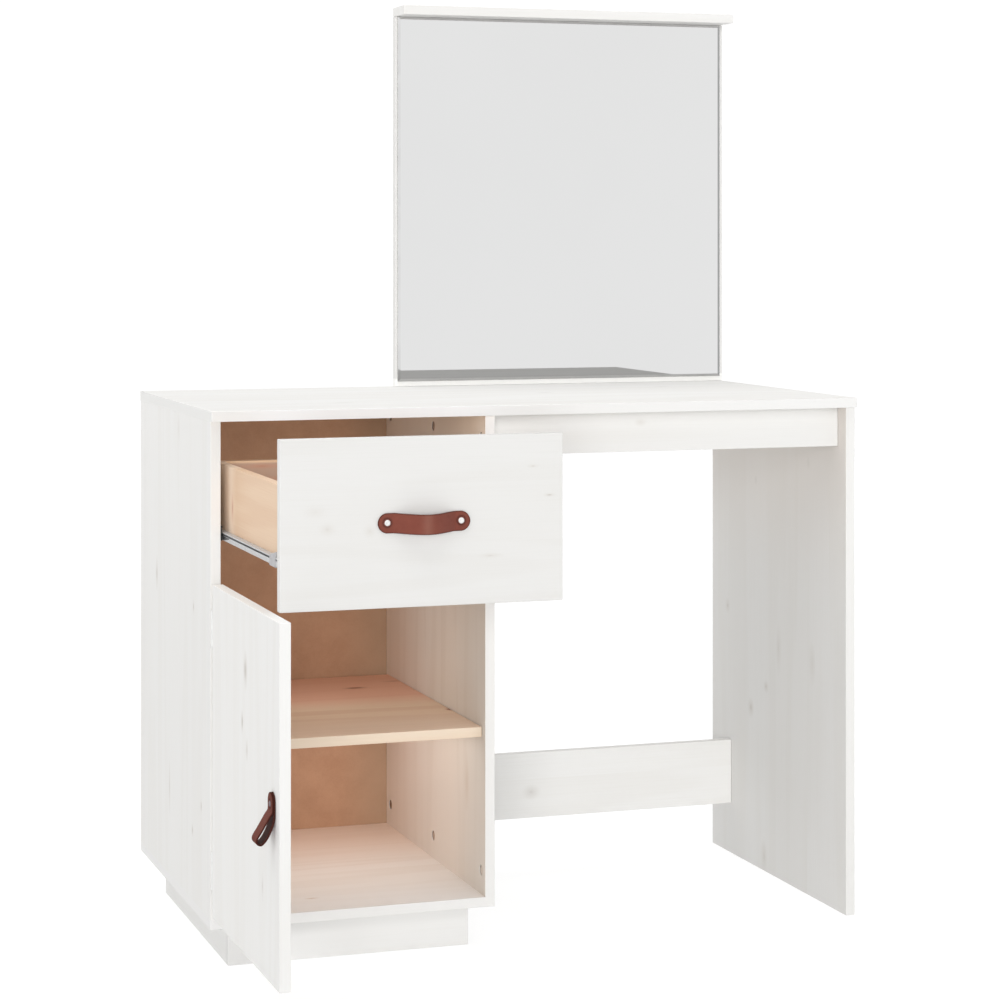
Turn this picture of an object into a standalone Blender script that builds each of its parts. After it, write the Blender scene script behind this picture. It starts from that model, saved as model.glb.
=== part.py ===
import math

import bmesh
import bpy
from mathutils import Vector

for old in list(bpy.data.objects):
    bpy.data.objects.remove(old, do_unlink=True)

# Sizes in metres. While building, X runs right from the left end of the table top,
# Y back from its front edge and Z up from the floor. place() moves a point to the
# part's own origin. The part rests with its drawer pulled out and its door open.
BOARD = 0.014
SHEET = 0.004
GAP = 0.0003

TOP_WIDTH = 0.950
TOP_DEPTH = 0.500
TOP_HEIGHT = 0.750
FRONT_SETBACK = 0.008

CABINET_WIDTH = 0.400
BACK_MARGIN = 0.002
PLINTH_HEIGHT = 0.057
PLINTH_SIDE_INSET = 0.030
PLINTH_FRONT_INSET = 0.028
PLINTH_BACK_INSET = 0.041

SHELF_TOP = 0.304
SHELF_FRONT = 0.020
SHELF_BACK = 0.485
SHELF_END_GAP = 0.0008
SHELF_PIN_RADIUS = 0.0025
SHELF_PIN_DEPTH = 0.009
SHELF_PIN_REACH = 0.009
SHELF_PIN_INSET = 0.143
SHELF_NOTCH_RADIUS = 0.003

CAM_RADIUS = 0.0072
CAM_DEPTH = 0.0117
CAM_BOTTOM_RISE = 0.033
CAM_TOP_DROP = 0.031
CAM_FRONT_INSET = 0.018
CAM_BACK_INSET = 0.022

APRON_FRONT = 0.034
APRON_DROP = 0.058
STRETCHER_FRONT = 0.4195
STRETCHER_LOW = 0.080
STRETCHER_HIGH = 0.181

MIRROR_WIDTH = 0.551
MIRROR_HEIGHT = 0.5755
MIRROR_END_INSET = 0.0015
MIRROR_LEFT_BORDER = 0.003
MIRROR_RIGHT_BORDER = 0.0055
MIRROR_LOW_BORDER = 0.008
MIRROR_BEVEL_WIDTH = 0.004
MIRROR_BEVEL_DROP = 0.0014
CAP_DEPTH = 0.060
PLATE_WIDTH = 0.040
PLATE_THICK = 0.002
PLATE_BELOW_TOP = 0.012
PLATE_ABOVE_TOP = 0.060
PLATE_INSET = 0.080

DOOR_SIDE_GAP = 0.001
FRONT_PROUD = 0.004
DRAWER_FRONT_TOP_GAP = 0.002
DRAWER_FRONT_LEFT_GAP = 0.0034
DRAWER_FRONT_RIGHT_GAP = 0.0005
DRAWER_FRONT_HEIGHT = 0.212
DRAWER_PULLED = 0.310
DRAWER_BOX_LENGTH = 0.400
DRAWER_BOX_DROP = 0.059
DRAWER_BOX_HEIGHT = 0.100
DRAWER_BOARD = 0.012
DRAWER_SIDE_CLEARANCE = 0.0125
DRAWER_FLOOR_RISE = 0.010
DRAWER_GROOVE_DEPTH = 0.006

RUNNER_RISE = 0.007
RUNNER_HALF = 0.0052
RUNNER_WALL = 0.001
RUNNER_DEPTH = 0.0082
RUNNER_SLOT_RISE = 0.0022
RUNNER_SLOT_HALF = 0.0012
RUNNER_TAIL = 0.040
RAIL_BASE = 0.0012
RAIL_BASE_HALF = 0.005
RAIL_NECK_HALF = 0.0007
RAIL_HEAD_HALF = 0.0037
RAIL_HEAD_THICK = 0.0033
RAIL_REACH = 0.0092
RAIL_SETBACK = 0.002
CLIP_SETBACK = 0.010
CLIP_LENGTH = 0.032
CLIP_HALF = 0.0098
CLIP_PROUD = 0.0004
CLIP_CLEARANCE = 0.003

STRAP_HEIGHT = 0.024
DRAWER_PULL_LENGTH = 0.120
DRAWER_PULL_CENTRES = 0.096
DRAWER_PULL_THICK = 0.0026
DRAWER_PULL_BOW = 0.020
DRAWER_PULL_SAG = 0.002
DRAWER_PULL_TAB = 0.024
DRAWER_PULL_FULLNESS = 1.5
DOOR_PULL_THICK = 0.002
DOOR_PULL_REACH = 0.023
DOOR_PULL_EDGE_INSET = 0.030
DOOR_PULL_RISE = 0.0140
DOOR_PULL_DROP = 0.0475
# The folded strap seen from the side: distance out from each layer, and height from the screw.
LOOP_DOWN = (
    (0.0, -0.012),
    (0.0006, -0.019),
    (0.0026, -0.026),
    (0.0060, -0.033),
    (0.0105, -0.040),
    (0.0150, 0.0030 - DOOR_PULL_DROP),
    (0.0178, 0.0008 - DOOR_PULL_DROP),
)
# The way back up: distance in from the furthest reach.
LOOP_UP = (
    (0.0014, 0.0022 - DOOR_PULL_DROP),
    (0.0, 0.0055 - DOOR_PULL_DROP),
    (0.0004, 0.0095 - DOOR_PULL_DROP),
    (0.0035, -0.031),
    (0.0085, -0.022),
    (0.0145, -0.014),
)
LOOP_CLOSE = ((0.0006, -0.0095), (0.0, -0.006))

SCREW_RADIUS = 0.0021
SCREW_HOLE_RADIUS = 0.0025
SCREW_GRIP = 0.009
SCREW_HEAD_RADIUS = 0.0039
SCREW_HEAD_HEIGHT = 0.0022
# The domed head as shares of its height and radius.
SCREW_DOME = ((0.0, 1.0), (0.5, 0.95), (0.85, 0.7), (1.0, 0.3))

DOOR_LOW_GAP = 0.006
DOOR_TOP_GAP = 0.002
HINGE_X = 0.003
HINGE_Y = 0.007
HINGE_HALF = 0.025
HINGE_END_INSET = 0.060
KNUCKLE_RADIUS = 0.0025
KNUCKLE_HALF = 0.008
LEAF = 0.0015
LEAF_CLEAR = 0.0004
PIN_RADIUS = 0.0012
PIN_CLEARANCE = 0.0001
DOOR_LEAF_DEPTH = 0.011

ROUND_STEPS = 24
STRAP_END_STEPS = 6
STRAP_BOW_STEPS = 12
CUT_PAST = 0.002

# Positions worked out from the sizes.
top_low = TOP_HEIGHT - BOARD
panel_y = (FRONT_SETBACK, TOP_DEPTH - SHEET)
left_in = BOARD
partition_in = CABINET_WIDTH - BOARD
right_in = TOP_WIDTH - BOARD
cabinet_mid = CABINET_WIDTH / 2
floor_top = PLINTH_HEIGHT + BOARD
door_x = (left_in + DOOR_SIDE_GAP, partition_in - DOOR_SIDE_GAP)
drawer_x = (left_in + DRAWER_FRONT_LEFT_GAP, partition_in - DRAWER_FRONT_RIGHT_GAP)
closed_front = FRONT_SETBACK - FRONT_PROUD
drawer_high = top_low - DRAWER_FRONT_TOP_GAP
drawer_low = drawer_high - DRAWER_FRONT_HEIGHT
box_high = drawer_high - DRAWER_BOX_DROP
box_low = box_high - DRAWER_BOX_HEIGHT
runner_mid = box_low + RUNNER_RISE
door_low = floor_top + DOOR_LOW_GAP
door_high = drawer_low - DOOR_TOP_GAP
mirror_right = TOP_WIDTH - MIRROR_END_INSET
mirror_left = mirror_right - MIRROR_WIDTH
mirror_top = TOP_HEIGHT + MIRROR_HEIGHT
mirror_front = TOP_DEPTH - BOARD
back_reach = TOP_DEPTH + GAP + PLATE_THICK

# Turning the closed door a quarter round the hinge axis stands it before the left panel.
door_outer = HINGE_X - (HINGE_Y - closed_front)
door_hinge_end = HINGE_Y - (door_x[0] - HINGE_X)
door_free_end = HINGE_Y - (door_x[1] - HINGE_X)
door_mid = (door_low + door_high) / 2

ORIGIN_X = (TOP_WIDTH + door_outer - DOOR_PULL_REACH) / 2
ORIGIN_Y = (door_free_end + back_reach) / 2

WHITE_PINE = ((0.80, 0.80, 0.78), 0.0, 0.55)
BARE_PINE = ((0.68, 0.46, 0.29), 0.0, 0.60)
HARDBOARD = ((0.42, 0.25, 0.16), 0.0, 0.75)
HIDE = ((0.20, 0.07, 0.05), 0.0, 0.60)
STEEL = ((0.62, 0.62, 0.62), 1.0, 0.35)
WHITE_SCREW = ((0.82, 0.82, 0.82), 0.0, 0.35)
ZINC = ((0.30, 0.28, 0.27), 1.0, 0.50)
SILVERED = ((0.85, 0.86, 0.87), 1.0, 0.03)


def place(x, y, z):
    return Vector((x - ORIGIN_X, y - ORIGIN_Y, z))


def finish(name, look):
    colour, metallic, roughness = look
    made = bpy.data.materials.new(name + "_finish")
    made.use_nodes = True
    shader = made.node_tree.nodes["Principled BSDF"]
    shader.inputs["Base Color"].default_value = (*colour, 1.0)
    shader.inputs["Metallic"].default_value = metallic
    shader.inputs["Roughness"].default_value = roughness
    made.diffuse_color = (*colour, 1.0)
    return made


def solid(name, points, faces, look=None, parent=None, smooth=False):
    """One closed mesh from points in building coordinates, with its origin at its middle."""
    placed = [place(*p) for p in points]
    low = Vector([min(p[i] for p in placed) for i in range(3)])
    high = Vector([max(p[i] for p in placed) for i in range(3)])
    middle = (low + high) / 2
    bm = bmesh.new()
    verts = [bm.verts.new(p - middle) for p in placed]
    for face in faces:
        bm.faces.new([verts[i] for i in face])
    bmesh.ops.recalc_face_normals(bm, faces=bm.faces)
    mesh = bpy.data.meshes.new(name)
    bm.to_mesh(mesh)
    bm.free()
    obj = bpy.data.objects.new(name, mesh)
    bpy.context.scene.collection.objects.link(obj)
    obj.location = middle
    if parent:
        obj.parent = parent
        obj.location = middle - parent.location
    if look:
        mesh.materials.append(finish(name, look))
    if smooth:
        mesh.shade_smooth()
        mesh.set_sharp_from_angle(angle=math.radians(35))
    return obj


def tube_faces(rings, count):
    """Faces of a closed skin over rings of count points, capped at both ends."""
    faces = [tuple(range(count)), tuple((rings - 1) * count + i for i in range(count))]
    for r in range(rings - 1):
        for i in range(count):
            j = (i + 1) % count
            faces.append((r * count + i, r * count + j, (r + 1) * count + j, (r + 1) * count + i))
    return faces


def box(name, x, y, z, look=None, parent=None):
    points = [(a, b, c) for c in z for a, b in ((x[0], y[0]), (x[1], y[0]), (x[1], y[1]), (x[0], y[1]))]
    return solid(name, points, tube_faces(2, 4), look, parent)


def spread(axis, along, pair):
    """A point from its place along one axis and its two places across it."""
    point = list(pair)
    point.insert(axis, along)
    return tuple(point)


def prism(name, axis, span, outline, look=None, parent=None):
    points = [spread(axis, along, pair) for along in span for pair in outline]
    return solid(name, points, tube_faces(2, len(outline)), look, parent)


def turned(name, axis, centre, profile, look=None, parent=None):
    """A round piece: profile lists (place along the axis, radius)."""
    points = []
    for along, radius in profile:
        for i in range(ROUND_STEPS):
            turn = 2 * math.pi * i / ROUND_STEPS
            pair = (centre[0] + radius * math.cos(turn), centre[1] + radius * math.sin(turn))
            points.append(spread(axis, along, pair))
    return solid(name, points, tube_faces(len(profile), ROUND_STEPS), look, parent, smooth=True)


def cut(target, cutter):
    cutter.hide_render = True
    cutter.display_type = "WIRE"
    boolean = target.modifiers.new("cut_" + cutter.name, "BOOLEAN")
    boolean.operation = "DIFFERENCE"
    boolean.solver = "EXACT"
    boolean.object = cutter


def add(target, extra):
    cut(target, extra)
    target.modifiers[-1].operation = "UNION"


def pivot(name, x, y, z):
    empty = bpy.data.objects.new(name, None)
    bpy.context.scene.collection.objects.link(empty)
    empty.location = place(x, y, z)
    empty.empty_display_size = 0.05
    return empty


drawer_pivot = pivot("drawer_slide", cabinet_mid, closed_front - DRAWER_PULLED, runner_mid)
door_pivot = pivot("door_hinge", HINGE_X, HINGE_Y, door_mid)

# Carcass: the two cabinet panels stand on the bottom board, and all three panels carry the top.
box("table_top", (0, TOP_WIDTH), (0, TOP_DEPTH), (top_low, TOP_HEIGHT), WHITE_PINE)
standing_z = (floor_top + GAP, top_low - GAP)
left_panel = box("left_side_panel", (0, left_in), panel_y, standing_z, WHITE_PINE)
partition = box("partition_panel", (partition_in, CABINET_WIDTH), panel_y, standing_z, WHITE_PINE)
box("right_side_panel", (right_in, TOP_WIDTH), panel_y, (0, top_low - GAP), WHITE_PINE)
box("cabinet_bottom_board", (0, CABINET_WIDTH), panel_y, (PLINTH_HEIGHT + GAP, floor_top), WHITE_PINE)
box(
    "cabinet_back_panel",
    (BACK_MARGIN, CABINET_WIDTH - BACK_MARGIN),
    (panel_y[1] + GAP, TOP_DEPTH),
    (PLINTH_HEIGHT + BACK_MARGIN, top_low - BACK_MARGIN),
    HARDBOARD,
)

# Plinth: a frame of four boards under the cabinet.
plinth_x = (PLINTH_SIDE_INSET, CABINET_WIDTH - PLINTH_SIDE_INSET)
plinth_y = (panel_y[0] + PLINTH_FRONT_INSET, panel_y[1] - PLINTH_BACK_INSET)
plinth_z = (0, PLINTH_HEIGHT)
plinth_between = (plinth_y[0] + BOARD + GAP, plinth_y[1] - BOARD - GAP)
box("plinth_front", plinth_x, (plinth_y[0], plinth_y[0] + BOARD), plinth_z, WHITE_PINE)
box("plinth_back", plinth_x, (plinth_y[1] - BOARD, plinth_y[1]), plinth_z, WHITE_PINE)
box("plinth_left", (plinth_x[0], plinth_x[0] + BOARD), plinth_between, plinth_z, WHITE_PINE)
box("plinth_right", (plinth_x[1] - BOARD, plinth_x[1]), plinth_between, plinth_z, WHITE_PINE)

# Kneehole: the rail under the top and the low stretcher join the cabinet to the right panel.
kneehole_x = (CABINET_WIDTH + GAP, right_in - GAP)
apron_y = (APRON_FRONT, APRON_FRONT + BOARD)
stretcher_y = (STRETCHER_FRONT, STRETCHER_FRONT + BOARD)
box("apron_rail", kneehole_x, apron_y, (top_low - APRON_DROP, top_low - GAP), WHITE_PINE)
box("stretcher_rail", kneehole_x, stretcher_y, (STRETCHER_LOW, STRETCHER_HIGH), WHITE_PINE)

# Shelf on four round pins, with a notch over each pin.
shelf_z = (SHELF_TOP - BOARD, SHELF_TOP)
shelf_x = (left_in + SHELF_END_GAP, partition_in - SHELF_END_GAP)
shelf = box("shelf", shelf_x, (SHELF_FRONT, SHELF_BACK), shelf_z, BARE_PINE)
pin_z = shelf_z[0] - GAP - SHELF_PIN_RADIUS
pin_rows = (("front", SHELF_FRONT + SHELF_PIN_INSET), ("back", SHELF_BACK - SHELF_PIN_INSET))
for side, face, inward, panel in (("left", left_in, 1, left_panel), ("right", partition_in, -1, partition)):
    for row, y in pin_rows:
        name = f"shelf_pin_{side}_{row}"
        inner = face - inward * SHELF_PIN_DEPTH
        outer = face + inward * SHELF_PIN_REACH
        ends = ((inner, SHELF_PIN_RADIUS), (outer, SHELF_PIN_RADIUS))
        turned(name, 0, (y, pin_z), ends, STEEL)
        hole_radius = SHELF_PIN_RADIUS + GAP
        hole = ((inner - inward * GAP, hole_radius), (face + inward * CUT_PAST, hole_radius))
        cut(panel, turned(name + "_hole", 0, (y, pin_z), hole))
        shelf_end = face + inward * SHELF_END_GAP
        notch_z = ((shelf_z[0] - CUT_PAST, SHELF_NOTCH_RADIUS), (shelf_z[1] + CUT_PAST, SHELF_NOTCH_RADIUS))
        cut(shelf, turned(name + "_notch", 2, (shelf_end, y), notch_z))

# Cam fasteners let into the inner faces of the cabinet panels, in rows at the foot and under the top.
cam_y = (
    ("front", panel_y[0] + CAM_FRONT_INSET),
    ("middle", (panel_y[0] + CAM_FRONT_INSET + panel_y[1] - CAM_BACK_INSET) / 2),
    ("back", panel_y[1] - CAM_BACK_INSET),
)
cam_z = (("low", floor_top + CAM_BOTTOM_RISE), ("high", top_low - CAM_TOP_DROP))
for side, face, inward, panel in (("left", left_in, 1, left_panel), ("right", partition_in, -1, partition)):
    for level, z in cam_z:
        for row, y in cam_y:
            name = f"cam_{side}_{level}_{row}"
            depth = face - inward * CAM_DEPTH
            turned(name, 0, (y, z), ((depth, CAM_RADIUS), (face, CAM_RADIUS)), ZINC)
            seat_radius = CAM_RADIUS + GAP
            seat = ((depth - inward * GAP, seat_radius), (face + inward * CUT_PAST, seat_radius))
            cut(panel, turned(name + "_seat", 0, (y, z), seat))

# Mirror: a board standing on the back of the top, a bevelled glass on its face and a cap over both.
mirror_x = (mirror_left, mirror_right)
mirror_z = (TOP_HEIGHT + GAP, mirror_top - GAP)
cap_y = (TOP_DEPTH - CAP_DEPTH, TOP_DEPTH)
box("mirror_back_board", mirror_x, (mirror_front, TOP_DEPTH), mirror_z, WHITE_PINE)
box("mirror_cap", mirror_x, cap_y, (mirror_top, mirror_top + BOARD), WHITE_PINE)
glass_x = (mirror_left + MIRROR_LEFT_BORDER, mirror_right - MIRROR_RIGHT_BORDER)
glass_z = (TOP_HEIGHT + MIRROR_LOW_BORDER, mirror_top - 2 * GAP)
glass_back = mirror_front - GAP
glass_front = glass_back - SHEET
glass_points = []
for y, inset in (
    (glass_back, 0.0),
    (glass_front + MIRROR_BEVEL_DROP, 0.0),
    (glass_front, MIRROR_BEVEL_WIDTH),
):
    x0, x1 = glass_x[0] + inset, glass_x[1] - inset
    z0, z1 = glass_z[0] + inset, glass_z[1] - inset
    glass_points += [(x0, y, z0), (x1, y, z0), (x1, y, z1), (x0, y, z1)]
solid("mirror_glass", glass_points, tube_faces(3, 4), SILVERED)
plate_z = (TOP_HEIGHT - PLATE_BELOW_TOP, TOP_HEIGHT + PLATE_ABOVE_TOP)
for side, x in (("left", mirror_left + PLATE_INSET), ("right", mirror_right - PLATE_INSET)):
    plate_x = (x - PLATE_WIDTH / 2, x + PLATE_WIDTH / 2)
    plate_y = (TOP_DEPTH + GAP, back_reach)
    box(f"mirror_plate_{side}", plate_x, plate_y, plate_z, STEEL)

# Drawer: the front and the box behind it, in the pulled-out place.
drawer_face = closed_front - DRAWER_PULLED
drawer_inner = drawer_face + BOARD
drawer_back = drawer_inner + DRAWER_BOX_LENGTH
box_x = (left_in + DRAWER_SIDE_CLEARANCE, partition_in - DRAWER_SIDE_CLEARANCE)
box_z = (box_low, box_high)
inside_x = (box_x[0] + DRAWER_BOARD, box_x[1] - DRAWER_BOARD)
front_z = (drawer_low, drawer_high)
side_y = (drawer_inner + GAP, drawer_back)
drawer_front = box("drawer_front", drawer_x, (drawer_face, drawer_inner), front_z, WHITE_PINE, drawer_pivot)
left_side = box("drawer_side_left", (box_x[0], inside_x[0]), side_y, box_z, BARE_PINE, drawer_pivot)
right_side = box("drawer_side_right", (inside_x[1], box_x[1]), side_y, box_z, BARE_PINE, drawer_pivot)
floor_low = box_low + DRAWER_FLOOR_RISE
floor_z = (floor_low, floor_low + SHEET)
box(
    "drawer_back",
    (inside_x[0] + GAP, inside_x[1] - GAP),
    (drawer_back - DRAWER_BOARD, drawer_back),
    (floor_z[1] + GAP, box_high),
    BARE_PINE,
    drawer_pivot,
)
floor_x = (inside_x[0] - DRAWER_GROOVE_DEPTH + GAP, inside_x[1] + DRAWER_GROOVE_DEPTH - GAP)
floor_y = (drawer_inner - DRAWER_GROOVE_DEPTH + GAP, drawer_back)
box("drawer_floor", floor_x, floor_y, floor_z, BARE_PINE, drawer_pivot)
groove_z = (floor_z[0] - GAP, floor_z[1] + GAP)
groove_y = (drawer_inner - CUT_PAST, drawer_back + CUT_PAST)
left_groove_x = (inside_x[0] - DRAWER_GROOVE_DEPTH, inside_x[0] + CUT_PAST)
right_groove_x = (inside_x[1] - CUT_PAST, inside_x[1] + DRAWER_GROOVE_DEPTH)
front_groove_x = (floor_x[0] - GAP, floor_x[1] + GAP)
front_groove_y = (drawer_inner - DRAWER_GROOVE_DEPTH, drawer_inner + CUT_PAST)
cut(left_side, box("drawer_groove_left", left_groove_x, groove_y, groove_z))
cut(right_side, box("drawer_groove_right", right_groove_x, groove_y, groove_z))
cut(drawer_front, box("drawer_groove_front", front_groove_x, front_groove_y, groove_z))

# Runners: a channel on each drawer side slides over a rail on the cabinet panel. A clip closes the
# channel's front end, and the rail's neck and head start behind the clip of the shut drawer.
outer = RUNNER_HALF
inner = RUNNER_HALF - RUNNER_WALL
lip = RUNNER_DEPTH - RUNNER_WALL
slot = (RUNNER_SLOT_RISE - RUNNER_SLOT_HALF, RUNNER_SLOT_RISE + RUNNER_SLOT_HALF)
channel_shape = (
    (0.0, -outer),
    (0.0, outer),
    (RUNNER_DEPTH, outer),
    (RUNNER_DEPTH, slot[1]),
    (lip, slot[1]),
    (lip, inner),
    (RUNNER_WALL, inner),
    (RUNNER_WALL, -inner),
    (lip, -inner),
    (lip, slot[0]),
    (RUNNER_DEPTH, slot[0]),
    (RUNNER_DEPTH, -outer),
)
head = RAIL_REACH - RAIL_HEAD_THICK
neck = (RUNNER_SLOT_RISE - RAIL_NECK_HALF, RUNNER_SLOT_RISE + RAIL_NECK_HALF)
base_shape = (
    (0.0, -RAIL_BASE_HALF),
    (0.0, RAIL_BASE_HALF),
    (RAIL_BASE, RAIL_BASE_HALF),
    (RAIL_BASE, -RAIL_BASE_HALF),
)
bar_shape = (
    (RAIL_BASE / 2, neck[0]),
    (RAIL_BASE / 2, neck[1]),
    (head, neck[1]),
    (head, RAIL_HEAD_HALF),
    (RAIL_REACH, RAIL_HEAD_HALF),
    (RAIL_REACH, -RAIL_HEAD_HALF),
    (head, -RAIL_HEAD_HALF),
    (head, neck[0]),
)
clip_y = (drawer_inner + CLIP_SETBACK, drawer_inner + CLIP_SETBACK + CLIP_LENGTH)
clip_mid = runner_mid + RUNNER_SLOT_RISE
clip_z = (clip_mid - CLIP_HALF, clip_mid + CLIP_HALF)
rail_start = closed_front + BOARD + RAIL_SETBACK
rail_y = (rail_start, rail_start + DRAWER_BOX_LENGTH + RUNNER_TAIL)
bar_y = (clip_y[1] + DRAWER_PULLED + CLIP_CLEARANCE, rail_y[1])
channel_y = (side_y[0], side_y[1] + RUNNER_TAIL)
for side, panel_face, box_face, inward in (
    ("left", left_in, box_x[0], 1),
    ("right", partition_in, box_x[1], -1),
):
    base = [(panel_face + inward * (GAP + a), runner_mid + b) for a, b in base_shape]
    bar = [(panel_face + inward * (GAP + a), runner_mid + b) for a, b in bar_shape]
    channel = [(box_face - inward * (GAP + a), runner_mid + b) for a, b in channel_shape]
    rail = prism(f"cabinet_rail_{side}", 1, rail_y, base, STEEL)
    add(rail, prism(f"cabinet_rail_{side}_bar", 1, bar_y, bar))
    slide = prism(f"drawer_channel_{side}", 1, channel_y, channel, STEEL, drawer_pivot)
    clip_ends = (box_face - inward * GAP, box_face - inward * (GAP + RUNNER_DEPTH + CLIP_PROUD))
    add(slide, box(f"drawer_channel_{side}_clip", (min(clip_ends), max(clip_ends)), clip_y, clip_z))


def strap(name, stations, thick, across, look, parent):
    """A leather band through stations of (place, place, half width, shift), turned to X, Y, Z by across()."""
    points = []
    for i, (a, b, half, shift) in enumerate(stations):
        before = stations[max(i - 1, 0)]
        after = stations[min(i + 1, len(stations) - 1)]
        step = Vector((after[0] - before[0], after[1] - before[1])).normalized()
        off = Vector((-step.y, step.x)) * (thick / 2)
        for sign, width in ((1, -half), (1, half), (-1, half), (-1, -half)):
            points.append(across(a + sign * off.x, b + sign * off.y, shift + width))
    return solid(name, points, tube_faces(len(stations), 4), look, parent, smooth=True)


def end_curve(step):
    """Distance from a round strap end and half width there, for one step of its quarter round."""
    turn = math.pi / 2 * (step + 0.5) / (STRAP_END_STEPS + 0.5)
    half = STRAP_HEIGHT / 2
    return half * (1 - math.cos(turn)), half * math.sin(turn)


# Drawer pull: a leather strap bowed out between two screws.
pull_z = (drawer_low + drawer_high) / 2
pull_y = drawer_face - GAP - DRAWER_PULL_THICK / 2
pull_mid = sum(drawer_x) / 2
pull_half = DRAWER_PULL_LENGTH / 2
left_run = []
for step in range(STRAP_END_STEPS + 1):
    away, half = end_curve(step)
    left_run.append((pull_mid - pull_half + away, pull_y, half, 0.0))
right_run = [(2 * pull_mid - a, b, half, shift) for a, b, half, shift in reversed(left_run)]
bow_half = pull_half - DRAWER_PULL_TAB
bow_run = []
for step in range(STRAP_BOW_STEPS + 1):
    share = step / STRAP_BOW_STEPS
    lift = abs(math.sin(math.pi * share)) ** DRAWER_PULL_FULLNESS
    x = pull_mid - bow_half + 2 * bow_half * share
    bow_run.append((x, pull_y - DRAWER_PULL_BOW * lift, STRAP_HEIGHT / 2, -DRAWER_PULL_SAG * lift))
drawer_pull = strap(
    "drawer_pull",
    left_run + bow_run + right_run,
    DRAWER_PULL_THICK,
    lambda a, b, w: (a, b, pull_z + w),
    HIDE,
    drawer_pivot,
)


def screw_profile(face, outward, grip, under):
    """Shank, seat and domed head along the axis, from inside the board to the crown."""
    seat = face + outward * (under + GAP)
    dome = [(seat + outward * SCREW_HEAD_HEIGHT * up, SCREW_HEAD_RADIUS * share) for up, share in SCREW_DOME]
    return [(face - outward * grip, SCREW_RADIUS), (seat, SCREW_RADIUS)] + dome


def screw_hole(face, outward, grip, under):
    start = face - outward * (grip + GAP)
    return ((start, SCREW_HOLE_RADIUS), (face + outward * (under + CUT_PAST), SCREW_HOLE_RADIUS))


strap_stack = GAP + DRAWER_PULL_THICK
for side, x in (
    ("left", pull_mid - DRAWER_PULL_CENTRES / 2),
    ("right", pull_mid + DRAWER_PULL_CENTRES / 2),
):
    name = f"drawer_pull_screw_{side}"
    profile = screw_profile(drawer_face, -1, SCREW_GRIP, strap_stack)
    turned(name, 1, (x, pull_z), profile, WHITE_SCREW, drawer_pivot)
    hole = turned(name + "_hole", 1, (x, pull_z), screw_hole(drawer_face, -1, SCREW_GRIP, strap_stack))
    cut(drawer_front, hole)
    cut(drawer_pull, hole)

# Door, standing open at a right angle.
door_x = (door_outer, door_outer + BOARD)
door_y = (door_free_end, door_hinge_end)
door = box("door_panel", door_x, door_y, (door_low, door_high), WHITE_PINE, door_pivot)

# Door pull: a leather strap folded to a loop, both ends under one screw.
door_pull_y = door_free_end + DOOR_PULL_EDGE_INSET
near = -(GAP + DOOR_PULL_THICK / 2)
far = -(2 * GAP + DOOR_PULL_THICK * 1.5)
rise = DOOR_PULL_RISE
reach = -(DOOR_PULL_REACH - DOOR_PULL_THICK / 2)
loop_path = [(near - out, height) for out, height in LOOP_DOWN]
loop_path += [(reach + back, height) for back, height in LOOP_UP]
loop_path += [(far - out, height) for out, height in LOOP_CLOSE]
end_steps = [end_curve(step) for step in range(STRAP_END_STEPS + 1)]
near_end = [(near, rise - away, half, 0.0) for away, half in end_steps]
far_end = [(far, rise - away, half, 0.0) for away, half in reversed(end_steps)]
loop = [(a, b, STRAP_HEIGHT / 2, 0.0) for a, b in loop_path]
door_pull = strap(
    "door_pull",
    near_end + loop + far_end,
    DOOR_PULL_THICK,
    lambda a, b, w: (door_outer + a, door_pull_y + w, door_mid + b),
    HIDE,
    door_pivot,
)
loop_stack = 2 * (GAP + DOOR_PULL_THICK)
door_screw = screw_profile(door_outer, -1, SCREW_GRIP, loop_stack)
turned("door_pull_screw", 0, (door_pull_y, door_mid), door_screw, WHITE_SCREW, door_pivot)
hole_span = screw_hole(door_outer, -1, SCREW_GRIP, loop_stack)
door_hole = turned("door_pull_screw_hole", 0, (door_pull_y, door_mid), hole_span)
cut(door, door_hole)
cut(door_pull, door_hole)

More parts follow.
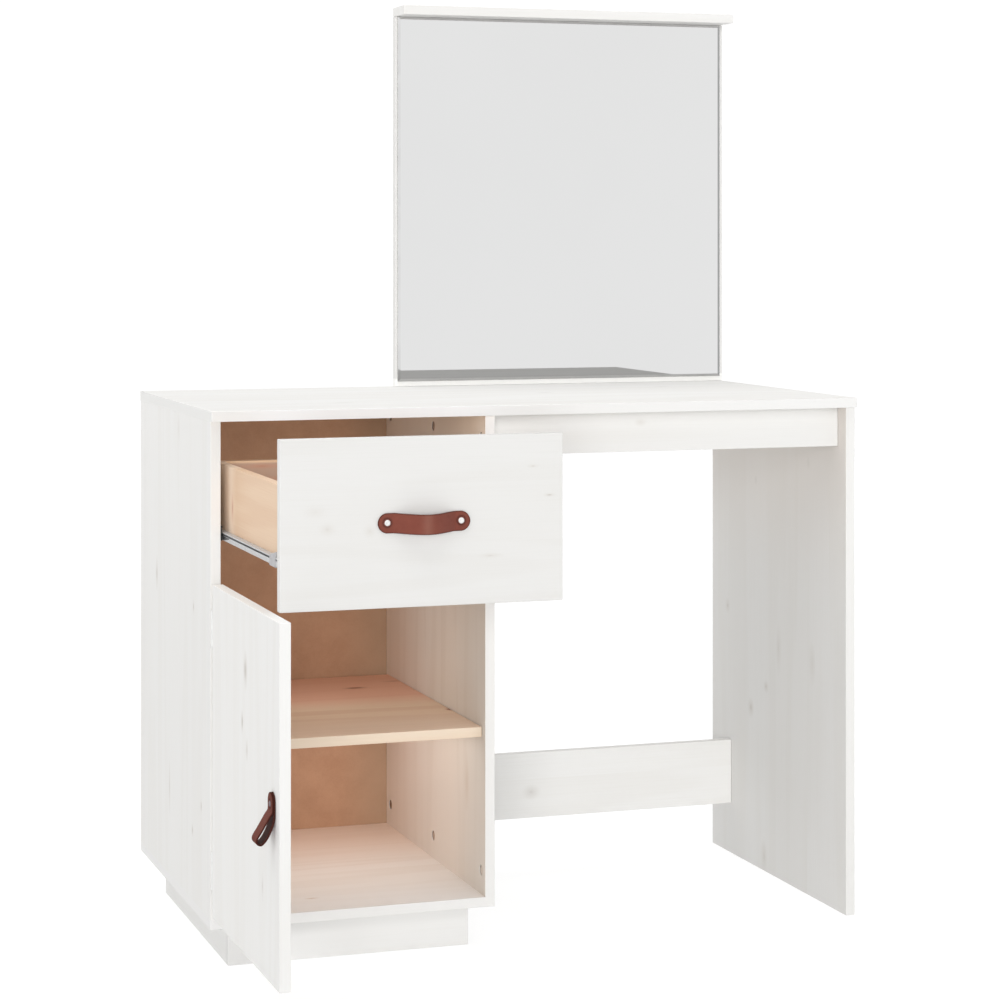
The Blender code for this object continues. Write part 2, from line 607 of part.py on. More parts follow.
# Hinges: the panel leaf lies in the panel's front edge, and the cranked leaf in the door's end.
panel_leaf_y = (HINGE_Y + KNUCKLE_RADIUS - LEAF, HINGE_Y + KNUCKLE_RADIUS)
bore_radius = PIN_RADIUS + PIN_CLEARANCE
knuckle_reach = KNUCKLE_RADIUS + LEAF_CLEAR
crank_inner = HINGE_X + panel_leaf_y[0] - LEAF_CLEAR - HINGE_Y
crank_x = (crank_inner - LEAF, crank_inner)
wing_x = (crank_x[0], crank_x[0] + DOOR_LEAF_DEPTH)
wing_y = (door_hinge_end - LEAF, door_hinge_end)
for level, z in (("upper", door_high - HINGE_END_INSET), ("lower", door_low + HINGE_END_INSET)):
    leaf_z = (z - HINGE_HALF, z + HINGE_HALF)
    tongue_z = (z - KNUCKLE_HALF, z + KNUCKLE_HALF)
    window_z = (z - KNUCKLE_HALF - GAP, z + KNUCKLE_HALF + GAP)
    mortise_z = (leaf_z[0] - GAP, leaf_z[1] + GAP)
    axis = (HINGE_X, HINGE_Y)

    mortise_y = (panel_y[0] - CUT_PAST, panel_leaf_y[1] + GAP)
    cut(left_panel, box(f"hinge_{level}_panel_seat", (-CUT_PAST, left_in + CUT_PAST), mortise_y, mortise_z))
    panel_leaf_x = (HINGE_X, left_in - GAP)
    panel_leaf = box(f"hinge_{level}_panel_leaf", panel_leaf_x, panel_leaf_y, leaf_z, STEEL)
    barrel = turned(f"hinge_{level}_barrel", 2, axis, [(end, KNUCKLE_RADIUS) for end in leaf_z])
    add(panel_leaf, barrel)
    window_x = (HINGE_X - knuckle_reach, HINGE_X + knuckle_reach)
    window_y = (HINGE_Y - knuckle_reach, HINGE_Y + knuckle_reach)
    cut(panel_leaf, box(f"hinge_{level}_window", window_x, window_y, window_z))

    crank_y = (wing_y[0], HINGE_Y - knuckle_reach)
    door_leaf = box(f"hinge_{level}_door_leaf", crank_x, crank_y, leaf_z, STEEL, door_pivot)
    add(door_leaf, box(f"hinge_{level}_wing", wing_x, wing_y, leaf_z))
    add(door_leaf, box(f"hinge_{level}_tongue", crank_x, (HINGE_Y - 2 * knuckle_reach, HINGE_Y), tongue_z))
    add(door_leaf, turned(f"hinge_{level}_knuckle", 2, axis, [(end, KNUCKLE_RADIUS) for end in tongue_z]))
    seat_x = (wing_x[0] - GAP, wing_x[1] + GAP)
    seat_y = (wing_y[0] - GAP, wing_y[1] + CUT_PAST)
    cut(door, box(f"hinge_{level}_door_seat", seat_x, seat_y, mortise_z))

    bore_z = ((leaf_z[0] - CUT_PAST, bore_radius), (leaf_z[1] + CUT_PAST, bore_radius))
    bore = turned(f"hinge_{level}_bore", 2, axis, bore_z)
    cut(panel_leaf, bore)
    cut(door_leaf, bore)
    turned(f"hinge_{level}_pin", 2, axis, [(end, PIN_RADIUS) for end in leaf_z], STEEL)

bpy.context.view_layer.update()
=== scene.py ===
import math

import bmesh
import bpy
from mathutils import Matrix, Vector


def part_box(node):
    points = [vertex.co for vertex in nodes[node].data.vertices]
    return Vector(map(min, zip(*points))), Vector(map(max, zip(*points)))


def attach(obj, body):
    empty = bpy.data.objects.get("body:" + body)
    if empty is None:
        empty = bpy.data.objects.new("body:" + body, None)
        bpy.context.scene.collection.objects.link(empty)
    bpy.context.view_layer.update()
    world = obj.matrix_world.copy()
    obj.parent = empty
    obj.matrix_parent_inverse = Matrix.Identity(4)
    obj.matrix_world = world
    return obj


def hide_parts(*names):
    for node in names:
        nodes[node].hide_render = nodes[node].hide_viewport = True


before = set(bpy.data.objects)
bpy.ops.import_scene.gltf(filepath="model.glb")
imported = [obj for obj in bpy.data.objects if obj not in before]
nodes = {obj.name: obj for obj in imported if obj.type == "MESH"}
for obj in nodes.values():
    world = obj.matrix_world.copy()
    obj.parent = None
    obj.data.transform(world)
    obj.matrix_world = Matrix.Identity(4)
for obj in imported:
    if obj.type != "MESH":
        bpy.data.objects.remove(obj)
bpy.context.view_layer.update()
print("frame loaded:", len(nodes), "nodes")


# Small helpers for material nodes.

def put(tree, kind, sockets=None, **settings):
    made = tree.nodes.new(kind)
    for key, value in settings.items():
        setattr(made, key, value)
    for key, value in (sockets or {}).items():
        if isinstance(value, bpy.types.NodeSocket):
            tree.links.new(value, made.inputs[key])
        else:
            made.inputs[key].default_value = value
    return made


def blank(name, roughness, metallic=0.0):
    made = bpy.data.materials.new(name)
    made.use_nodes = True
    shader = made.node_tree.nodes["Principled BSDF"]
    shader.inputs["Roughness"].default_value = roughness
    shader.inputs["Metallic"].default_value = metallic
    return made, made.node_tree, shader


def calc(tree, operation, first, second=0.0, third=0.0):
    return put(tree, "ShaderNodeMath", {0: first, 1: second, 2: third}, operation=operation).outputs[0]


def mixed(tree, share, first, second):
    return put(tree, "ShaderNodeMix", {0: share, 6: first, 7: second}, data_type="RGBA").outputs[2]


def spanned(tree, value, low, high, newLow=0.0, newHigh=1.0):
    sockets = {"Value": value, "From Min": low, "From Max": high, "To Min": newLow, "To Max": newHigh}
    return put(tree, "ShaderNodeMapRange", sockets, interpolation_type="SMOOTHSTEP").outputs["Result"]


def objectPlace(tree):
    return put(tree, "ShaderNodeTexCoord").outputs["Object"]


def scaled(tree, vector, scale, location=(0.0, 0.0, 0.0)):
    return put(tree, "ShaderNodeMapping", {"Vector": vector, "Scale": scale, "Location": location}).outputs[0]


def noise(tree, vector, detail=2.0, roughness=0.5, distortion=0.0):
    return put(tree, "ShaderNodeTexNoise", {
        "Vector": vector, "Scale": 1.0, "Detail": detail, "Roughness": roughness, "Distortion": distortion,
    }).outputs["Fac"]


def bumped(tree, shader, height, strength, distance):
    bump = put(tree, "ShaderNodeBump", {"Height": height, "Strength": strength, "Distance": distance})
    tree.links.new(bump.outputs["Normal"], shader.inputs["Normal"])


def colour(red, green, blue):
    return (red, green, blue, 1.0)


def dimmed(tone, share):
    return colour(*(share * c for c in tone[:3]))


# A fade is (axis, where it starts, where it is full, colour, depth of colour). On the boards most fades are
# painted light and shade.
def faded(tree, tone, split, fades):
    for axis, start, full, tint, depth in fades:
        tone = mixed(tree, spanned(tree, split.outputs[axis], start, full, 0.0, depth), tone, tint)
    return tone


# A knot is (point, half length along the grain, half width, depth of colour).
def knotMarks(tree, at, grain, wide, knots):
    most = None
    for point, halfLong, halfWide, depth in knots:
        scale = [0.0, 0.0, 0.0]
        scale[grain] = 1.0 / halfLong
        scale[wide] = 1.0 / halfWide
        place = [-point[i] * scale[i] for i in range(3)]
        near = scaled(tree, at, scale, place)
        ball = put(tree, "ShaderNodeTexGradient", {0: near}, gradient_type="SPHERICAL")
        mark = calc(tree, "MULTIPLY", ball.outputs["Fac"], depth)
        most = calc(tree, "MAXIMUM", most, mark) if most else mark
    return most


# Pine: staves glued edge to edge, growth rings as contour lines of a long noise, fibres, fades and knots.
# fibre and cloud are scales (across the grain, along it), and a range is where a mark starts and is full.
pineLook = {
    "stave": 0.075, "staveJump": 40.0, "shift": (1.0, 1.7, 0.6),
    "figureRough": 0.45, "figureBend": 0.15, "knotBend": 0.12, "ringRange": (-0.2, 1.0),
    "fibre": (620.0, 9.0), "fibreShift": 3.1, "fibreRange": (0.42, 0.75),
    "cloud": (9.0, 2.5), "cloudShift": 0.7, "cloudRange": (0.35, 0.75),
    "haloRange": (0.0, 0.6), "knotRange": (0.35, 0.75),
    "roughSpread": 0.16, "groove": 0.4, "bumpDeep": 0.0003,
}


def pine(name, finish, look, seed, fades):
    made, tree, shader = blank(name, finish["roughness"])
    at = objectPlace(tree)
    split = put(tree, "ShaderNodeSeparateXYZ", {0: at})

    def longWays(across, along, shift):
        scale = [across] * 3
        scale[look["grain"]] = along
        return scaled(tree, at, scale, [shift * share for share in pineLook["shift"]])

    staveWide = look.get("stave", pineLook["stave"])
    strip = calc(tree, "FLOOR", calc(tree, "DIVIDE", split.outputs[look["wide"]], staveWide))
    stripTone = put(
        tree, "ShaderNodeTexWhiteNoise", {"W": calc(tree, "ADD", strip, seed)}, noise_dimensions="1D",
    ).outputs["Value"]
    field = put(tree, "ShaderNodeTexNoise", {
        "Vector": longWays(finish["figure"], finish["figureLong"], seed),
        "W": calc(tree, "MULTIPLY", stripTone, pineLook["staveJump"]),
        "Scale": 1.0, "Detail": 2.0,
        "Roughness": pineLook["figureRough"], "Distortion": pineLook["figureBend"],
    }, noise_dimensions="4D").outputs["Fac"]
    knots = knotMarks(tree, at, look["grain"], look["wide"], look.get("knots", ()))
    if knots:
        field = calc(tree, "MULTIPLY_ADD", knots, pineLook["knotBend"], field)  # rings bend round a knot
    wave = calc(tree, "SINE", calc(tree, "MULTIPLY", field, finish["rings"] * 2 * math.pi))
    ring = spanned(tree, wave, *pineLook["ringRange"])
    fibreAt = longWays(*pineLook["fibre"], seed * pineLook["fibreShift"])
    fibre = noise(tree, fibreAt, detail=3.0, roughness=0.6)
    cloud = noise(tree, longWays(*pineLook["cloud"], seed * pineLook["cloudShift"]))

    def stained(tone, share, depth, tint):
        return mixed(tree, calc(tree, "MULTIPLY", share, finish[depth]), tone, finish[tint])

    tone = mixed(tree, calc(tree, "MULTIPLY", ring, finish["ringDepth"]), finish["light"], finish["dark"])
    tone = stained(tone, spanned(tree, fibre, *pineLook["fibreRange"]), "fibreDepth", "dark")
    tone = stained(tone, stripTone, "staveDepth", "warm")
    tone = stained(tone, spanned(tree, cloud, *pineLook["cloudRange"]), "cloudDepth", "warm")
    tone = faded(tree, tone, split, fades)
    if knots:
        tone = stained(tone, spanned(tree, knots, *pineLook["haloRange"]), "haloDepth", "halo")
        tone = stained(tone, spanned(tree, knots, *pineLook["knotRange"]), "knotDepth", "knot")
    tree.links.new(tone, shader.inputs["Base Color"])
    spread = pineLook["roughSpread"]
    rough = calc(tree, "MULTIPLY_ADD", fibre, spread, finish["roughness"] - spread / 2)
    tree.links.new(rough, shader.inputs["Roughness"])
    grooved = calc(tree, "MULTIPLY_ADD", ring, -pineLook["groove"], fibre)
    bumped(tree, shader, grooved, finish["bump"], pineLook["bumpDeep"])
    shader.inputs["Specular IOR Level"].default_value = finish["shine"]
    return made


whiteStain = {
    "light": colour(0.800, 0.796, 0.782), "dark": colour(0.700, 0.680, 0.640),
    "warm": colour(0.765, 0.750, 0.722), "halo": colour(0.640, 0.615, 0.580),
    "knot": colour(0.400, 0.360, 0.320),
    "roughness": 0.55, "shine": 0.22, "bump": 0.22,
    "figure": 7.0, "figureLong": 0.45, "rings": 9.0,
    "ringDepth": 0.16, "fibreDepth": 0.14, "staveDepth": 0.22, "cloudDepth": 0.20,
    "haloDepth": 0.60, "knotDepth": 0.50,
}
barePine = dict(
    whiteStain,
    light=colour(0.860, 0.685, 0.525), dark=colour(0.640, 0.400, 0.270), warm=colour(0.780, 0.550, 0.390),
    halo=colour(0.560, 0.270, 0.180), knot=colour(0.310, 0.100, 0.060),
    roughness=0.50, shine=0.35, bump=0.25,
    ringDepth=0.36, fibreDepth=0.20, staveDepth=0.40, cloudDepth=0.30, haloDepth=0.6, knotDepth=0.8,
)
drawerPine = dict(
    barePine,
    light=colour(0.745, 0.565, 0.395), dark=colour(0.570, 0.340, 0.200), warm=colour(0.690, 0.470, 0.315),
    ringDepth=0.30,
)
creamPine = dict(
    barePine,
    light=colour(0.700, 0.595, 0.480), dark=colour(0.585, 0.440, 0.318), warm=colour(0.655, 0.535, 0.412),
)
# inside the cupboard the stain is thinner and the wood shows through; its darker, browner tone is also
# painted shade and warm bounce
thinStainAndShade = dict(
    whiteStain,
    light=colour(0.770, 0.715, 0.650), dark=colour(0.600, 0.515, 0.430), warm=colour(0.700, 0.600, 0.500),
    halo=colour(0.540, 0.430, 0.340), knot=colour(0.300, 0.180, 0.120),
    ringDepth=0.25,
)
# the top of the cupboard's bottom board: the same thin stain and painted shade, a little paler
paleStain = dict(
    thinStainAndShade,
    light=colour(0.820, 0.790, 0.755), dark=colour(0.660, 0.585, 0.515), warm=colour(0.760, 0.695, 0.630),
)
# under the cap and on the front edge of the top the white is painted paler, painted light against the shade
# there; the edge's cool tint offsets warm bounce
paintedLightWhite = dict(
    whiteStain,
    light=colour(0.950, 0.945, 0.935), dark=colour(0.880, 0.865, 0.840), warm=colour(0.930, 0.920, 0.900),
)
paintedLightEdge = dict(
    whiteStain,
    light=colour(0.880, 0.900, 0.920), dark=colour(0.815, 0.825, 0.835), warm=colour(0.860, 0.875, 0.885),
)


# Steel. brushed is the axis that the fine lines run along.
# In the pieces' dictionaries a steel, paint or plastic is (colour, roughness).
steelLook = {
    "lines": 900.0, "linesAlong": 18.0, "blot": 60.0, "blotRange": (0.35, 0.8), "blotTone": 0.72,
    "roughSpread": 0.25, "roughDrop": 0.12, "bump": 0.12, "bumpDeep": 0.0001,
}


def wornSteel(name, tone, roughness, brushed):
    made, tree, shader = blank(name, roughness, 1.0)
    at = objectPlace(tree)
    scale = [steelLook["lines"]] * 3
    scale[brushed] = steelLook["linesAlong"]
    lines = noise(tree, scaled(tree, at, scale), detail=3.0, roughness=0.6)
    blot = noise(tree, scaled(tree, at, (steelLook["blot"],) * 3), detail=3.0)
    blotShare = spanned(tree, blot, *steelLook["blotRange"])
    paintedLight = mixed(tree, blotShare, tone, dimmed(tone, steelLook["blotTone"]))
    tree.links.new(paintedLight, shader.inputs["Base Color"])
    rough = calc(tree, "MULTIPLY_ADD", lines, steelLook["roughSpread"], roughness - steelLook["roughDrop"])
    tree.links.new(rough, shader.inputs["Roughness"])
    bumped(tree, shader, lines, steelLook["bump"], steelLook["bumpDeep"])
    return made


# plastic, enamel and paint
mouldedLook = {
    "grit": 1500.0, "blot": 90.0, "blotRange": (0.3, 0.8), "blotTone": 0.86,
    "roughSpread": 0.2, "bump": 0.08, "bumpDeep": 0.0001,
}


def moulded(name, tone, roughness):
    made, tree, shader = blank(name, roughness)
    at = objectPlace(tree)
    grit = noise(tree, scaled(tree, at, (mouldedLook["grit"],) * 3))
    blot = noise(tree, scaled(tree, at, (mouldedLook["blot"],) * 3))
    blotShare = spanned(tree, blot, *mouldedLook["blotRange"])
    blotted = mixed(tree, blotShare, tone, dimmed(tone, mouldedLook["blotTone"]))
    tree.links.new(blotted, shader.inputs["Base Color"])
    spread = mouldedLook["roughSpread"]
    rough = calc(tree, "MULTIPLY_ADD", grit, spread, roughness - spread / 2)
    tree.links.new(rough, shader.inputs["Roughness"])
    bumped(tree, shader, grit, mouldedLook["bump"], mouldedLook["bumpDeep"])
    return made


# Pieces made from a CAD node: merged, with its long edges eased. Angles are in degrees.
meshLook = {"mergeWithin": 0.00002, "spunWithin": 0.00001, "flat": 1, "corner": 60, "sideShare": 0.9}


def nodeCopy(nodeName):
    bm = bmesh.new()
    bm.from_mesh(nodes[nodeName].data)
    bmesh.ops.remove_doubles(bm, verts=bm.verts, dist=meshLook["mergeWithin"])
    flat = math.radians(meshLook["flat"])
    bmesh.ops.dissolve_limit(bm, angle_limit=flat, verts=bm.verts, edges=bm.edges)
    for face in bm.faces:
        face.material_index = 0
    return bm


def rounded(bm, edges, width, segments=2):
    made = bmesh.ops.bevel(
        bm, geom=edges, offset=width, offset_type="OFFSET", segments=segments,
        profile=0.5, affect="EDGES", material=-1, clamp_overlap=True,
    )
    for face in made["faces"]:
        face.smooth = True


# ease, in the dictionaries, is (width of the rounded edge, shortest edge that gets it)
# sharp lists the sides, as (axis, sign), whose edges are left as they are
def easeEdges(bm, width, shortest, sharp=()):
    corner = math.radians(meshLook["corner"])

    def onSharpSide(edge):
        share = meshLook["sideShare"]
        return any(face.normal[axis] * sign > share for face in edge.link_faces for axis, sign in sharp)

    rounded(bm, [
        e for e in bm.edges
        if len(e.link_faces) == 2 and e.is_convex
        and e.calc_face_angle(0.0) > corner and e.calc_length() > shortest and not onSharpSide(e)
    ], width)


def finishPiece(name, bm, materials, body, replaced=()):
    mesh = bpy.data.meshes.new(name)
    bm.to_mesh(mesh)
    bm.free()
    for material in materials:
        mesh.materials.append(material)
    piece = bpy.data.objects.new(name, mesh)
    bpy.context.scene.collection.objects.link(piece)
    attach(piece, body)
    if replaced:
        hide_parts(*replaced)


# Small parts are built apart at the origin, then turned to face outward and added to a piece.

def addPart(bm, part, centre, outward):
    turn = Vector((0, 0, 1)).rotation_difference(Vector(outward)).to_matrix().to_4x4()
    bmesh.ops.transform(part, matrix=Matrix.Translation(centre) @ turn, verts=part.verts)
    scratch = bpy.data.meshes.new("scratch")
    part.to_mesh(scratch)
    part.free()
    bm.from_mesh(scratch)
    bpy.data.meshes.remove(scratch)


# A round part is spun from a profile of (radius, height).
def spun(profile, steps=28):
    part = bmesh.new()
    verts = [part.verts.new((radius, 0.0, height)) for radius, height in profile]
    edges = [part.edges.new(pair) for pair in zip(verts, verts[1:])]
    bmesh.ops.spin(
        part, geom=verts + edges, cent=(0, 0, 0), axis=(0, 0, 1), dvec=(0, 0, 0),
        angle=2 * math.pi, steps=steps, use_merge=True, use_duplicate=False,
    )
    bmesh.ops.remove_doubles(part, verts=part.verts, dist=meshLook["spunWithin"])
    bmesh.ops.recalc_face_normals(part, faces=part.faces)
    for face in part.faces:
        face.smooth = True
    return part


# a pin's or screw's head, its foot just under the surface
def domedHead(radius, height, foot=-0.0002):
    return spun((
        (0.0, height), (radius * 0.45, height * 0.94), (radius * 0.78, height * 0.66),
        (radius * 0.95, height * 0.3), (radius, 0.0), (radius * 0.98, foot), (0.0, foot),
    ), steps=20)


# Boards. grain and wide are axes, 0 for X, 1 for Y, 2 for Z. facing is a side with a finish of its own,
# as inside the cupboard. White front edges, and the door's top edge, are painted a little paler: a painted
# highlight.
# sharp sides meet another board closely, and reach closes the joint there.
boardLook = {"ease": (0.0007, 0.011), "flush": 0.00005, "seedStart": 1.3, "seedStep": 3.7}
edgeHighlight = colour(0.900, 0.895, 0.880)
frontEdgeHighlight = (1, -0.0550, -0.0555, edgeHighlight, 0.5)
# tone scales a board's whole colour and is set board by board to how bright the board looks in its place:
# painted light and shade
whiteBoards = {
    "table_top": {
        "grain": 0, "wide": 1, "tone": 1.16, "shine": 0.0, "sharp": [(2, -1)],
        # the left end is painted darker than the top, and the front edge paler above the drawer than at its
        # ends: painted light and shade
        "fades": [(0, -0.4628, -0.4634, colour(0.820, 0.816, 0.800), 1.0)],
        "facing": (1, -1), "facingFinish": paintedLightEdge,
        "facingFades": [(0, -0.165, 0.005, colour(0.785, 0.780, 0.765), 0.95),
                        (0, -0.355, -0.445, colour(0.790, 0.785, 0.770), 0.95)],
        "knots": [((0.10, 0.20, 0), 0.020, 0.006, 0.5), ((-0.25, 0.06, 0), 0.024, 0.007, 0.5),
                  ((0.33, 0.30, 0), 0.020, 0.006, 0.5)],
    },
    "left_side_panel": {
        "grain": 2, "wide": 1, "tone": 0.968, "sharp": [(2, -1), (2, 1)], "reach": 0.00028,
        # its inner face takes the thin stain with its painted shade
        "facing": (0, 1), "facingFinish": thinStainAndShade,
        "knots": [((0, 0.153, 0.713), 0.032, 0.014, 0.42), ((0, 0.308, 0.490), 0.030, 0.010, 0.7),
                  ((0, 0.052, 0.475), 0.014, 0.007, 0.7), ((0, 0.216, 0.196), 0.050, 0.007, 0.6),
                  ((0, 0.003, 0.211), 0.014, 0.007, 0.75), ((0, 0.059, 0.167), 0.014, 0.008, 0.7)],
    },
    "partition_panel": {
        "grain": 2, "wide": 1, "sharp": [(2, -1), (2, 1)], "reach": 0.00028,
        # the front edge is painted paler at the top, against the drawer front's shade; the inside is painted
        # shade: browner towards the back, duller above and below, greyer towards the front, warmer under the
        # drawer
        "fades": [frontEdgeHighlight, (2, 0.690, 0.705, colour(0.975, 0.965, 0.955), 0.97)],
        "facing": (0, -1), "facingFinish": thinStainAndShade,
        "facingFades": [(1, 0.20, 0.42, colour(0.800, 0.640, 0.515), 0.60),
                        (2, 0.30, 0.60, colour(0.670, 0.600, 0.540), 0.45),
                        (2, 0.30, 0.16, colour(0.690, 0.615, 0.560), 0.45),
                        (1, 0.12, -0.05, colour(0.570, 0.540, 0.495), 0.69),
                        (2, 0.66, 0.72, colour(0.860, 0.740, 0.620), 0.60)],
        "knots": [((0, 0.027, 0.213), 0.050, 0.016, 0.36), ((0, 0.25, 0.46), 0.018, 0.008, 0.6)],
    },
    "right_side_panel": {
        # darker and browner towards the top, painted shade under the top; the front edge keeps the plain
        # white
        "grain": 2, "wide": 1, "tone": 0.965, "fades": [(2, 0.42, 0.74, colour(0.705, 0.638, 0.582), 0.60)],
        "facing": (1, -1), "facingFinish": whiteStain,
        "knots": [((0, 0.177, 0.353), 0.050, 0.014, 0.45), ((0, 0.058, 0.348), 0.036, 0.014, 0.40),
                  ((0, 0.223, 0.287), 0.012, 0.011, 0.55), ((0, 0.280, 0.245), 0.018, 0.014, 0.60),
                  ((0, 0.370, 0.393), 0.014, 0.012, 0.55), ((0, 0.261, 0.603), 0.012, 0.008, 0.40),
                  ((0, 0.071, 0.645), 0.012, 0.008, 0.45), ((0, 0.230, 0.022), 0.034, 0.014, 0.50)],
    },
    "cabinet_bottom_board": {
        # the front edge is painted paler where the door shades it and darker at the left end; the top inside
        # is painted greyer at the front and browner at the back: painted light and shade
        "grain": 0, "wide": 1, "sharp": [(2, 1)], "facing": (2, 1), "facingFinish": paleStain,
        "fades": [frontEdgeHighlight, (0, -0.225, -0.350, colour(0.965, 0.960, 0.945), 1.0),
                  (0, -0.415, -0.440, colour(0.740, 0.735, 0.725), 0.9)],
        "facingFades": [(1, 0.16, -0.04, colour(0.735, 0.728, 0.720), 0.8),
                        (1, 0.12, 0.38, colour(0.862, 0.685, 0.555), 0.7)],
        "knots": [((-0.306, 0.0145, 0), 0.014, 0.005, 0.6)],
    },
    "plinth_front": {
        "grain": 0, "wide": 2, "stave": 0.2, "tone": 1.07,
        # paler where the door shades it, darker at the left end, and darker at the top in a painted shadow
        # under the bottom board
        "fades": [(0, -0.250, -0.350, colour(0.920, 0.915, 0.900), 0.9),
                  (0, -0.375, -0.412, colour(0.700, 0.695, 0.680), 0.85),
                  (2, 0.030, 0.048, colour(0.755, 0.750, 0.735), 0.9)],
    },
    "plinth_back": {"grain": 0, "wide": 2, "stave": 0.2},
    "plinth_left": {"grain": 1, "wide": 2, "stave": 0.2},
    "plinth_right": {"grain": 1, "wide": 2, "stave": 0.2},
    "apron_rail": {
        "grain": 0, "wide": 2, "stave": 0.3,
        # paler at the left end, where the drawer front shades it, and darker at the top in a painted shadow
        # under the top
        "fades": [(0, 0.045, -0.045, colour(0.935, 0.930, 0.912), 0.95),
                  (2, 0.716, 0.727, colour(0.725, 0.720, 0.705), 0.8)],
        "knots": [((0.163, 0, 0.720), 0.013, 0.008, 0.40)],
    },
    "stretcher_rail": {
        "grain": 0, "wide": 2, "stave": 0.07, "tone": 1.065,
        # paler at the left end, where the partition shades it: painted light
        "fades": [(0, 0.060, -0.050, colour(0.930, 0.925, 0.910), 0.8)],
        "knots": [((0.134, 0, 0.120), 0.017, 0.013, 0.50)],
    },
    "mirror_back_board": {
        "grain": 2, "wide": 0, "tone": 0.915, "sharp": [(2, -1)],
        # the foot under the glass is painted paler: painted light
        "fades": [(2, 0.7640, 0.7600, colour(0.910, 0.905, 0.885), 1.0)],
        "knots": [((0.1, 0, 1.10), 0.020, 0.008, 0.7), ((0.35, 0, 0.90), 0.016, 0.008, 0.7)],
    },
    # the underside of the cap is painted paler: painted light against its shade
    "mirror_cap": {"grain": 0, "wide": 1, "stave": 0.2, "facing": (2, -1), "facingFinish": paintedLightWhite},
    "drawer_front": {
        "grain": 0, "wide": 2, "body": "drawer", "tone": 0.917,
        "knots": [((-0.4015, 0, 0.644), 0.024, 0.013, 0.36), ((-0.386, 0, 0.622), 0.015, 0.011, 0.48),
                  ((-0.332, 0, 0.618), 0.012, 0.011, 0.46), ((-0.175, 0, 0.582), 0.020, 0.004, 0.55),
                  ((-0.118, 0, 0.693), 0.010, 0.003, 0.6), ((-0.096, 0, 0.656), 0.010, 0.003, 0.7)],
    },
    "door_panel": {
        # the top edge is painted paler: a painted highlight
        "grain": 2, "wide": 1, "body": "door", "tone": 1.015, "fades": [(2, 0.5190, 0.5196, edgeHighlight, 1.0)],
        "knots": [((0, -0.259, 0.436), 0.030, 0.016, 0.75), ((0, -0.242, 0.368), 0.020, 0.009, 0.75),
                  ((0, -0.268, 0.337), 0.020, 0.008, 0.6), ((0, -0.352, 0.185), 0.024, 0.008, 0.55)],
    },
}
bareBoards = {
    "shelf": {
        "grain": 0, "wide": 1, "stave": 0.60, "tone": 1.04, "facing": (1, -1), "facingFinish": creamPine,
        # redder towards the back and paler at the front: painted shade and painted light
        "fades": [(1, 0.14, 0.26, colour(0.860, 0.455, 0.325), 0.75),
                  (1, 0.14, -0.02, colour(0.880, 0.730, 0.610), 0.6)],
        "knots": [((-0.160, 0.317, 0), 0.026, 0.012, 0.9), ((-0.36, 0.12, 0), 0.016, 0.008, 0.6),
                  ((-0.088, 0.358, 0), 0.028, 0.010, 0.55), ((-0.080, 0.100, 0), 0.008, 0.012, 1.0)],
    },
}
drawerBoards = {
    "drawer_side_left": {
        "grain": 1, "wide": 2, "body": "drawer", "stave": 0.2,
        # paler where the left panel shades it near the cabinet's mouth: painted light
        "fades": [(1, -0.100, -0.045, colour(0.930, 0.770, 0.630), 0.85)],
        "knots": [((0, -0.071, 0.622), 0.009, 0.030, 0.55)],
    },
    "drawer_side_right": {"grain": 1, "wide": 2, "body": "drawer", "stave": 0.2},
    "drawer_back": {
        "grain": 0, "wide": 2, "body": "drawer", "stave": 0.2,
        # darker below its top edge: painted shade inside the drawer
        "fades": [(2, 0.6735, 0.670, colour(0.430, 0.303, 0.250), 0.80)],
        "knots": [((-0.372, 0, 0.667), 0.045, 0.0055, 0.50), ((-0.335, 0, 0.650), 0.050, 0.006, 0.45)],
    },
    "drawer_floor": {"grain": 0, "wide": 1, "body": "drawer", "stave": 0.5},
}


def makeBoards(boards, finish):
    for count, (nodeName, look) in enumerate(boards.items()):
        seed = count * boardLook["seedStep"] + boardLook["seedStart"]
        toned = dict(finish)
        for key in ("light", "dark", "warm"):
            toned[key] = dimmed(finish[key], look.get("tone", 1.0))
        toned["shine"] = look.get("shine", finish["shine"])
        materials = [pine(nodeName + "_finish", toned, look, seed, look.get("fades", ()))]
        bm = nodeCopy(nodeName)
        if "facing" in look:
            axis, side = look["facing"]
            materials.append(
                pine(nodeName + "_facing", look["facingFinish"], look, seed, look.get("facingFades", ()))
            )
            for face in bm.faces:
                if face.normal[axis] * side > meshLook["sideShare"]:
                    face.material_index = 1
        sharp = look.get("sharp", ())
        for axis, sign in sharp:
            end = max(vert.co[axis] * sign for vert in bm.verts)
            for vert in bm.verts:
                if vert.co[axis] * sign > end - boardLook["flush"]:
                    vert.co[axis] += look.get("reach", 0.0) * sign
        easeEdges(bm, *boardLook["ease"], sharp)
        finishPiece(nodeName + "_board", bm, materials, look.get("body", "carcass"), [nodeName])
    print("boards:", ", ".join(boards))


makeBoards(whiteBoards, whiteStain)
makeBoards(bareBoards, barePine)
makeBoards(drawerBoards, drawerPine)


